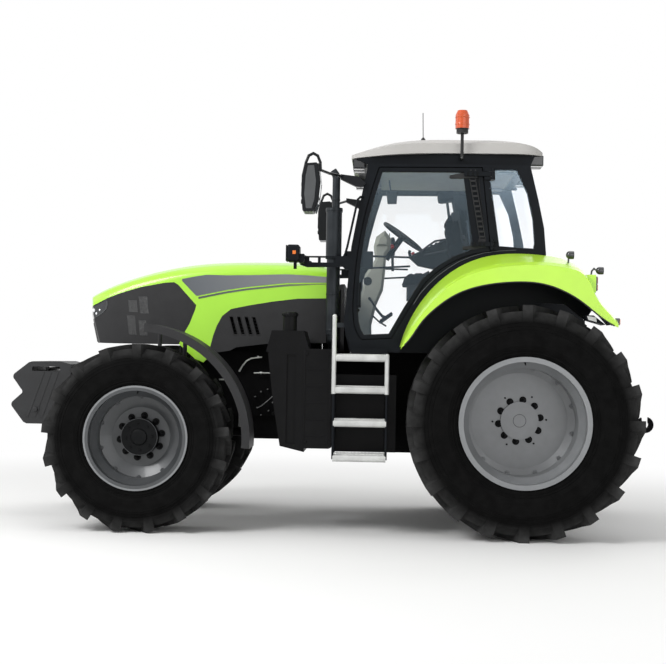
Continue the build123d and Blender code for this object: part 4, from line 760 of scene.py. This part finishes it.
# mirrors
FACE = [(1600, 2478), (1622, 2482), (1601, 2556), (1587, 2700), (1604, 2838)]
m = Piece()
for part in (FACE[1:3], FACE[2:]):
    rows = [[P(x, y, z) for y in (1240, 1290, 1340, 1390, 1440)] for x, z in part]
    m.strip(rows, 3, (-1, 0, 0))
m.pair("mirror glasses", "mirror_glass")
m = Piece()
for y in (1234, 1446):
    m.tube(at_y(FACE[1:], y), 5, 8)
for x, z in (FACE[1], FACE[2], FACE[4]):
    m.tube([P(x, 1234, z), P(x, 1446, z)], 4, 8)
for z in (2560, 2690):
    m.box((1712, 1734), (1318, 1362), (z - 16, z + 16), 4)
m.pair("mirror rims", "mirror_plastic")
m = Piece()
side_face = [(1690, 2500), (1704, 2607), (1696, 2745), (1680, 2822)]
side_face += [(1634, 2824), (1618, 2708), (1628, 2570), (1648, 2500)]
m.plate(side_face, 1451, 1455)
m.pair("mirror side panels", "rim_grey")

# ---- Steps, tank, exhaust, weights ----
grip = Piece()
for z in (1355, 1107, 850, 582):
    for n in range(14):
        x = 1080 + 28 * n
        for k in range(9):
            y = 878 + 30 * k
            grip.lathe(P(x + (14 if k % 2 else 0), y, z + 53.5), (0, 0, 1), [(9, 0), (7, 4), (4, 4), (3.5, 1)], 8)
    for n in range(13):
        grip.box((1078 + 30 * n, 1098 + 30 * n), (1149.5, 1152), (z + 12, z + 40), 1)
grip.pair("step grip", "step_metal")

cap = Piece()
cap.lathe(P(1830, 900, 1699), (0, 0, 1), [(0, 0), (60, 0), (62, 6), (62, 24), (54, 34), (20, 36), (0, 36)], 32)
for p in around(P(1830, 900, 1706), (0, 0, 1), 62, 16):
    cap.disc(p, (0, 0, 1), 4, 16, 8)
cap.make("filler cap", "tank_plastic")
ribs = Piece()
for n in range(5):
    z = 760 + 130 * n
    ribs.box((1545, 1690), (989, 993), (z, z + 14), 2)
for x in (1500, 1705):
    ribs.box((x - 8, x + 8), (982, 995), (700, 1440), 3)
for x, z in ((1500, 1410), (1500, 720), (1690, 1410), (1690, 720)):
    ribs.disc(P(x, 992, z), (0, 1, 0), 14, 6, 20, 2)
ribs.pair("tank ribs and straps", "tank_plastic")

EX = P(1504, 690, 0)
clamps = Piece()
for x, z, r in ((0, 1590, 55), (0, 1880, 55), (0, 2172, 64), (0, 2555, 68), (-0.013, 2640, 32)):
    at = Vector((EX.x + x, EX.y, z / 1000))
    clamps.lathe(at, (0, 0, 1), [(r - 3, 0), (r, 0), (r + 1, 3), (r + 1, 15), (r, 18), (r - 3, 18)], 36)
    clamps.bolt(at + Vector((0, (r + 2) / 1000, 0.009)), (0, 1, 0), 10, 12)
clamps.make("exhaust clamps", "exhaust_metal")

marks = Piece()
for k in range(3):
    pts = [(3800 + 60 * k, 1215), (3830 + 60 * k, 1215), (3960 + 60 * k, 840), (3930 + 60 * k, 840)]
    marks.plate(pts, 300, 304)
marks.bolt(P(3990, 300, 905), (0, 1, 0), 34, 22)
marks.lathe(P(3850, 300, 880), (0, 1, 0), [(20, 0), (26, 4), (30, 4), (34, 0)], 28)
marks.pair("weight ridges", "weight")
rod_piece = Piece()
rod_piece.tube([P(3990, -320, 905), P(3990, 320, 905)], 12, 12)
rod_piece.tube([P(3900, -306, 1244), P(3900, 306, 1244)], 14, 12)
rod_piece.make("weight tie bars", "bolt")

# ---- Inside the cab ----
def cushion(name, foot, rise, face_up, size, swell, seams):
    """A stuffed pad: a rounded block blown up as cloth, then pressed along its sewn channels.

    foot is the middle of its lower back edge, rise the angle of its length above straight ahead, and
    size its length, width and thickness. Its back stays flat on what carries it."""
    a = math.radians(rise)
    along = Vector((math.cos(a), 0, math.sin(a)))
    face = Vector((-math.sin(a), 0, math.cos(a))) * (1 if face_up else -1)
    across = Vector((0, 1, 0))
    length, width, thick = (v / 1000 for v in size)
    base = P(*foot)
    piece = Piece()
    bm = piece.bm
    bmesh.ops.create_cube(bm, size=2.0)
    bmesh.ops.subdivide_edges(bm, edges=bm.edges, cuts=23, use_grid_fill=True)
    for v in bm.verts:
        u, w, t = v.co
        waist = 1 - max(0.0, abs(u) + abs(w) - 1.55) * 0.35
        rim = (abs(u) ** 14 + abs(w) ** 14) ** (1 / 14)
        roll = 1 - 0.45 * max(0.0, rim - 0.8) / 0.2 if t > 0 else 1
        v.co = along * (length * (1 + u * waist) / 2) + across * (width * w * waist / 2)
        v.co += face * (thick * (0.5 + t * roll / 2 if t > 0 else 0.5 + t / 2)) + base
    bmesh.ops.recalc_face_normals(bm, faces=bm.faces)
    obj = piece.make(name, "seat_fabric")
    rest = [v.co.copy() for v in obj.data.vertices]
    pins = obj.vertex_groups.new(name="held")
    pins.add([i for i, c in enumerate(rest) if (c - base).dot(face) < 0.3 * thick], 1.0, "REPLACE")
    cloth = obj.modifiers.new("cloth", "CLOTH")
    cloth.settings.use_pressure = True
    cloth.settings.uniform_pressure_force = 4
    cloth.settings.effector_weights.gravity = 0
    cloth.settings.vertex_group_mass = "held"
    scene = bpy.context.scene
    for n in range(1, 21):
        scene.frame_set(n)
    shown = obj.evaluated_get(bpy.context.evaluated_depsgraph_get())
    blown = [v.co.copy() for v in shown.data.vertices]
    obj.modifiers.remove(cloth)
    scene.frame_set(1)
    for v, before, after in zip(obj.data.vertices, rest, blown):
        move = after - before
        v.co = before + move * min(1.0, swell / 1000 / max(move.length, 1e-9))
    work = bmesh.new()
    work.from_mesh(obj.data)
    bmesh.ops.subdivide_edges(work, edges=work.edges, cuts=1, use_grid_fill=True, smooth=0.6)
    for v in work.verts:
        rel = v.co - base
        u, w, t = rel.dot(along) / length, rel.dot(across) / width, rel.dot(face) / thick
        if t > 0.55 and 0.08 < u < 0.92:
            for kind, where in seams:
                off = (w - where) * width if kind == "long" else (u - where) * length
                v.co -= face * 0.013 * math.exp(-((off / 0.008) ** 2)) * min(1, (0.5 - abs(w)) * 6)
    work.to_mesh(obj.data)
    work.free()
    obj.data.shade_smooth()
    return obj


ribs = [("long", -0.27), ("long", 0.27)] + [("wide", 0.18 + 0.16 * n) for n in range(5)]
seat_pad = cushion("seat cushion", (436, 0, 2003), -1, True, (500, 480, 88), 16, ribs)
cushion("backrest cushion", (415, 0, 2100), 81, False, (510, 450, 92), 16, ribs)
cushion("head cushion", (522, 0, 2724), 82, False, (86, 262, 118), 8, [])
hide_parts("seat")
inside = Piece()
inside.plate([(388, 2080), (470, 2080), (540, 2610), (478, 2620)], -200, 200)
for y in (-62, 62):
    inside.tube([P(498, y, 2600), P(524, y, 2736)], 8, 8)
    inside.tube([P(552, y, 2590), P(572, y, 2732)], 8, 8)
inside.make("seat back shell", "interior_plastic")
belt = Piece()
for hand in (1, -1):
    belt.tube([P(520, hand * 262, 1990), P(540, hand * 262, 2080), P(580, hand * 250, 2120)], 12, 10)
belt.make("belt anchors", "rubber")
folds = [(150 - (0 if n % 2 else 14), 1700 + 20 * n) for n in range(9)]
Piece().lathe(P(660, 0, 0), (0, 0, 1), folds).make("seat bellows", "rubber")

# moulded column with its shaft, pedals and switches, and the console beside the seat
COLUMN = [(1330, 1482), (1326, 1660), (1322, 1830), (1278, 1959), (1258, 2087), (1206, 2163), (1175, 2216)]
COLUMN += [(1188, 2323), (1168, 2408), (1094, 2463), (1040, 2392), (1048, 2304), (1080, 2260), (1086, 2132)]
COLUMN += [(1103, 1962), (1158, 1833), (1198, 1662), (1192, 1482)]
column = Piece()
column.moulded(COLUMN, 100, 22)
column.moulded([(1100, 2440), (1060, 2392), (1066, 2330), (1166, 2330), (1150, 2404)], 128, 16)
column = column.make("column console", "column_grey")
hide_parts("steering_column")
shaft = Piece()
shaft.tube([P(1082, 0, 2223), P(955, 0, 2402)], 26, 20)
shaft.tube([P(960, 0, 2394), P(945, 0, 2415)], 12, 16)
for y in (-230, -180, 200):
    shaft.tube([P(1215, y, 1880), P(1157, y, 1798), P(1108, y, 1740), P(1080, y, 1728)], 8, 8)
    shaft.plate([(1016, 1752), (1030, 1770), (1124, 1704), (1134, 1682), (1112, 1680)], y - 34, y + 34)
shaft.tube([P(1215, -235, 1880), P(1215, 205, 1880)], 12, 12)
shaft.tube([P(1188, 120, 1740), P(1134, 120, 1690), P(1070, 120, 1651)], 7, 8)
for y in (-60, 60):
    shaft.tube([P(1012, y, 2320), P(985, y * 2.2, 2340)], 6, 8)
shaft.make("column shaft and pedals", "cab_black")
Piece().box((1052, 1060), (-70, 70), (2405, 2440), 3).make("dash screen", "screen")
Piece().disc(P(1046, 52, 2322), (-0.8, 0, 0.4), 19, 30, 20, 4).make("hazard switch", "red")
console = Piece()
box = [(250, 1482), (770, 1482), (800, 1700), (800, 1960), (740, 2120), (660, 2150), (480, 2190), (250, 2190)]
armrest = [(886, 2268), (803, 2194), (651, 2163), (470, 2200), (394, 2353), (375, 2451), (568, 2427), (782, 2325)]
console.moulded(box, 110, 16, -450).moulded(armrest, 62, 16, -362)
console = console.make("side console", "interior_plastic")
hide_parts("armrest_console")
bars = Piece()
bars.tube([P(787, -290, 2307), P(722, -290, 2362), P(658, -290, 2408), P(397, -290, 2455)], 9, 10)
bars.tube([P(743, -290, 2286), P(525, -290, 2333)], 9, 10)
bars.make("console bars", "rim_grey")
monitor = Piece()
monitor.box((1010, 1040), (-560, -330), (2270, 2440), 8)
monitor.tube([P(1020, -450, 2150), P(1025, -450, 2280)], 12, 10)
monitor.make("monitor", "cab_black")
Piece().box((1004, 1011), (-545, -345), (2288, 2424), 2).make("monitor face", "screen")
knobs = Piece()
knobs.lathe(P(842, -340, 2292), (0.4, 0, 1), [(0, 0), (14, 0), (17, 10), (12, 22), (0, 24)], 20)
knobs.make("red knob", "red")
controls = Piece()
for n in range(5):
    x = 590 + 40 * n
    z = 2427 - (x - 568) * 102 / 214
    controls.box((x, x + 26), (-400, -372), (z - 14, z + 6), 3)
controls.tube([P(866, -372, 2270), P(878, -372, 2312), P(872, -372, 2330)], 14, 12)
controls.tube([P(938, -210, 2020), P(853, -240, 2032), P(790, -240, 2092), P(706, -240, 2138)], 9, 8)
controls.make("armrest controls", "cab_black")
Piece().box((40, 1140), (-740, 740), (2900, 2924), 8).make("headliner", "liner")
mirror_in = Piece()
mirror_in.moulded([(1089, 2794), (993, 2796), (1000, 2690), (1077, 2688)], 22, 6, 60)
mirror_in.tube([P(1050, 60, 2790), P(1060, 40, 2850), P(1064, 0, 2902)], 7, 8)
mirror_in.make("inner mirror", "mirror_plastic")
Piece().box((735, 1075), (-245, 245), (1422, 1432), 2).make("cab isolator", "rubber")
Piece().box((1372, 1604), (-150, 150), (1424, 1604), 6).make("bay shield", "cast_black")
mat = Piece()
mat.box((640, 1040), (-330, 590), (1481, 1488), 2)
for n in range(18):
    mat.box((660 + 20 * n, 668 + 20 * n), (-310, 580), (1488, 1490))
mat.make("floor mat", "rubber")
speakers = Piece()
for y in (-560, 560):
    speakers.lathe(P(120, y, 2899), (0, 0, -1), [(70, 0), (70, 6), (56, 8), (0, 4)], 28)
speakers.make("speakers", "cab_black")

# ---- Chassis: pins, hoses, couplers, fastenings ----
pins = Piece()
for y in (-1, 1):
    pins.lathe(P(-560, y * 490, 1310), (0, y, 0), [(0, 0), (24, 0), (24, 8), (16, 12), (0, 12)], 20)
pins.make("lift rod pin heads", "bolt", "lift_rods")
pins = Piece()
for y in (-1, 1):
    pins.lathe(P(60, y * 480, 590), (0, y, 0), [(0, 0), (30, 0), (30, 10), (0, 12)], 20)
pins.lathe(P(-470, 50, 1050), (0, 1, 0), [(12, 0), (22, 2), (22, 12), (0, 12)], 16)
pins.make("linkage pin heads", "bolt")
boots = Piece()
for y in (-1, 1):
    a, b = P(-566, y * 476, 1150), P(-590, y * 476, 860)
    boots.tube([a + (b - a) * t for t in (0.0, 0.1)], 36, 16)
    boots.tube([a + (b - a) * t for t in (0.35, 0.42)], 34, 6)
boots.make("lift rod collars", "bolt", "lift_rods")
couplers = Piece()
for row in range(2):
    for n in range(4):
        p = P(-421, -150 + 42 * n, 1120 - 60 * row)
        couplers.lathe(p, (-1, 0, 0), [(16, 0), (16, 16), (13, 20), (13, 34), (9, 34), (9, 26), (0, 26)], 18)
couplers.make("hydraulic couplers", "bright")
shield = Piece()
shield.plate([(-330, 850), (-330, 838), (-470, 838), (-500, 800), (-508, 804), (-476, 850)], -120, 120)
shield.make("shaft shield", "cab_black")
sp = Piece()
for n in range(6):
    a = 2 * math.pi * n / 6
    d = Vector((0, math.cos(a), math.sin(a)))
    w = Vector((0, -math.sin(a), math.cos(a)))
    base = P(-438, 0, 760) + d * 0.0172
    q = [base + w * 0.004, base - w * 0.004, base - w * 0.003 + d * 0.002, base + w * 0.003 + d * 0.002]
    far = [v + Vector((0.06, 0, 0)) for v in q]
    sp.add(q + far, ((0, 1, 2, 3), (7, 6, 5, 4), (0, 4, 5, 1), (1, 5, 6, 2), (2, 6, 7, 3), (3, 7, 4, 0)))
sp.make("stub splines", "bright")
pipes = Piece()
bend = [P(2290, 270, 1250), P(2262, 282, 1300), P(2230, 286, 1340), P(2190, 286, 1362), P(2101, 280, 1374)]
pipes.tube(bend, 8, 12)
pipes.tube([P(2166, 280, 1240), P(2100, 282, 1243), P(2032, 280, 1242)], 6, 10)
pipes.tube([P(2457, 280, 1180), P(2400, 282, 1182), P(2357, 280, 1182)], 6, 10)
for p in (P(2100, 280, 1243), P(2390, 281, 1181), P(2125, 280, 1374)):
    pipes.lathe(p, (1, 0, 0), [(0, 0), (11, 0), (11, 16), (0, 16)], 6)
pipes.pair("engine pipes", "bright")
pipes = Piece()
pipes.tube([P(2135, 282, 948), P(2100, 286, 966), P(2069, 288, 991), P(2032, 286, 1024), P(2003, 280, 1051)], 4, 8)
for x, z in ((2154, 1043), (2138, 953), (2102, 891), (2040, 927), (2007, 997), (2106, 1085), (2050, 1107)):
    pipes.lathe(P(x, 236, z), (0, 1, 0), [(0, 46), (6, 45), (6, 0)], 8)
pipes.pair("engine small pipes", "mesh_grey")
filters = Piece()
filters.lathe(P(2272, 262, 788), (0, 0, 1), [(0, 0), (16, 2), (17, 10), (17, 148), (12, 156), (0, 158)], 20)
for k in range(12):
    filters.lathe(P(2272, 262, 802 + 11 * k), (0, 0, 1), [(17, 0), (19, 2), (19, 4), (17, 6)], 20)
filters.pair("spring canisters", "mesh_grey")
covers = Piece()
for n in range(6):
    x = 1700 + 150 * n
    covers.box((x, x + 120), (-150, 150), (1720, 1752), 10)
    covers.bolt(P(x + 60, 0, 1752), (0, 0, 1), 14, 10)
covers.make("valve covers", "cast_black")
bolts = Piece()
for x in (1550, 1700, 1850, 2000, 2350, 2500, 2600):
    bolts.bolt(P(x, 235, 905), (0, 1, 0), 18, 12)
for z in (700, 800, 900, 1000, 1100, 1200):
    bolts.bolt(P(1195, 235, z), (0, 1, 0), 18, 12)
    bolts.bolt(P(330, 250, z), (0, 1, 0), 18, 12)
for x in (2700, 2780, 2860, 3180, 3400, 3560):
    bolts.bolt(P(x, 175, 1180), (0, 1, 0), 20, 13)
bolts.pair("chassis bolts", "bolt")
hub = Piece()
axle = P(0, 410, 0) + Vector((0, 0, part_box("rear_tyre_left")[0].z + 0.905))
for p in around(axle, (0, 1, 0), 150, 12):
    hub.bolt(p, (0, 1, 0), 16, 12)
hub.pair("axle housing bolts", "bolt")

# mudguard edges and crease
guard = tree("rear_mudguards")
edge = Piece()
line = []
for n in range(48):
    x = 930 - n * 34
    hit, _, _, _ = guard.ray_cast(P(x, 1178, 0) + Vector((0, 0, 1.2)), Vector((0, 0, 1)))
    if hit:
        line.append(hit)
edge.tube(line, 6, 8)
edge.pair("mudguard rubber edge", "rubber")
crease = Piece()
marks = [(895, 1520), (829, 1691), (730, 1855), (565, 1980), (433, 2049)]
marks += [(235, 2120), (14, 2150), (-150, 2120), (-300, 2070)]
line = [land(guard, x, z, 1, -1.0) for x, z in marks]
crease.tube([q for q in line if q], 3.5, 8)
crease.pair("mudguard crease", "lit_guard_green")

# ---- Size, camera, floor and light ----
low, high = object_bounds()

# the photograph's camera, fitted to the wheels: millimetres ahead of the rear axle, left and up, and degrees
EYE, YAW, PITCH, ROLL = (1093, 11891, 1416), 2.07, 0.87, 1.0
cam_data = bpy.data.cameras.new("camera")
cam_data.lens = 75.46
cam_data.sensor_width = 36.0
cam_data.clip_end = 200
cam = new_object("camera", cam_data)
yaw, pitch, roll = (math.radians(a) for a in (YAW, PITCH, ROLL))
ahead = Vector((math.sin(yaw) * math.cos(pitch), -math.cos(yaw) * math.cos(pitch), math.sin(pitch)))
right = ahead.cross(Vector((0, 0, 1))).normalized()
up = right.cross(ahead)
turned_right = right * math.cos(roll) + up * math.sin(roll)
turned_up = up * math.cos(roll) - right * math.sin(roll)
place = Matrix((turned_right, turned_up, -ahead)).transposed().to_4x4()
place.translation = P(*EYE)
cam.matrix_world = place
bpy.context.scene.camera = cam

mesh = bpy.data.meshes.new("floor")
mesh.from_pydata([(-60, -60, 0), (60, -60, 0), (60, 60, 0), (-60, 60, 0)], [], [(0, 1, 2, 3)])
floor = new_object("floor", mesh)


def seen_rays(t):
    """1 for rays that go to the eye, to a reflection or through glass, and 0 for those that light things."""
    ray = node(t, "LightPath").outputs
    seen = maths(t, "Math", "MAXIMUM", ray["Is Camera Ray"], ray["Is Glossy Ray"]).outputs[0]
    return maths(t, "Math", "MAXIMUM", seen, ray["Is Transmission Ray"]).outputs[0]


# the floor fades into plain white with the distance from the tractor (metres)
floor_look = material("studio floor", "F7F7F6", 0.7, spread=0.01, scale=0.4, bump=0.0, **MATT)
ft = floor_look.node_tree
reach = maths(ft, "VectorMath", "LENGTH", find(floor_look, "TEX_COORD").outputs["Object"])
away = node(ft, "MapRange", {"Value": reach.outputs["Value"]}, From_Min=2.6, From_Max=8.0)
away.interpolation_type = "SMOOTHSTEP"
share = maths(ft, "Math", "MULTIPLY", away.outputs["Result"], seen_rays(ft))
shown = find(floor_look, "BSDF_PRINCIPLED").outputs["BSDF"]
mixed = node(ft, "MixShader", {0: share.outputs["Value"], 1: shown, 2: node(ft, "Emission").outputs["Emission"]})
wire(ft, find(floor_look, "OUTPUT_MATERIAL"), {"Surface": mixed.outputs["Shader"]})
mesh.materials.append(floor_look)


def light(name, place, aim, size, power):
    data = bpy.data.lights.new(name, "AREA")
    data.shape, data.size, data.energy = "SQUARE", size, power
    obj = new_object(name, data)
    obj.location = place
    obj.rotation_mode = "QUATERNION"
    obj.rotation_quaternion = (Vector(aim) - Vector(place)).to_track_quat("-Z", "Y")


light("key", (5.5, 6.0, 7.0), (0, 0.5, 1.4), 3.5, 520)
light("fill", (-5, 9, 3.5), (0, 0.5, 1.4), 7, 170)
light("front", (9, 0, 5), (0.5, 0, 1.4), 6, 120)
light("back", (-6, -7, 7), (0, 0, 1.4), 6, 200)
light("top", (0, 0, 10), (0, 0, 0), 8, 165)
WORLD_LIGHT = 0.45  # what the white surroundings give as light; they are seen at 1
world = bpy.data.worlds.new("studio")
bpy.context.scene.world = world
world.use_nodes = True
wt = world.node_tree
power = node(wt, "MapRange", {"Value": seen_rays(wt)}, To_Min=WORLD_LIGHT, To_Max=1.0)
wire(wt, wt.nodes["Background"], {"Strength": power.outputs["Result"]}, Color=(1, 1, 1, 1))
bpy.context.scene.view_settings.view_transform = "Standard"
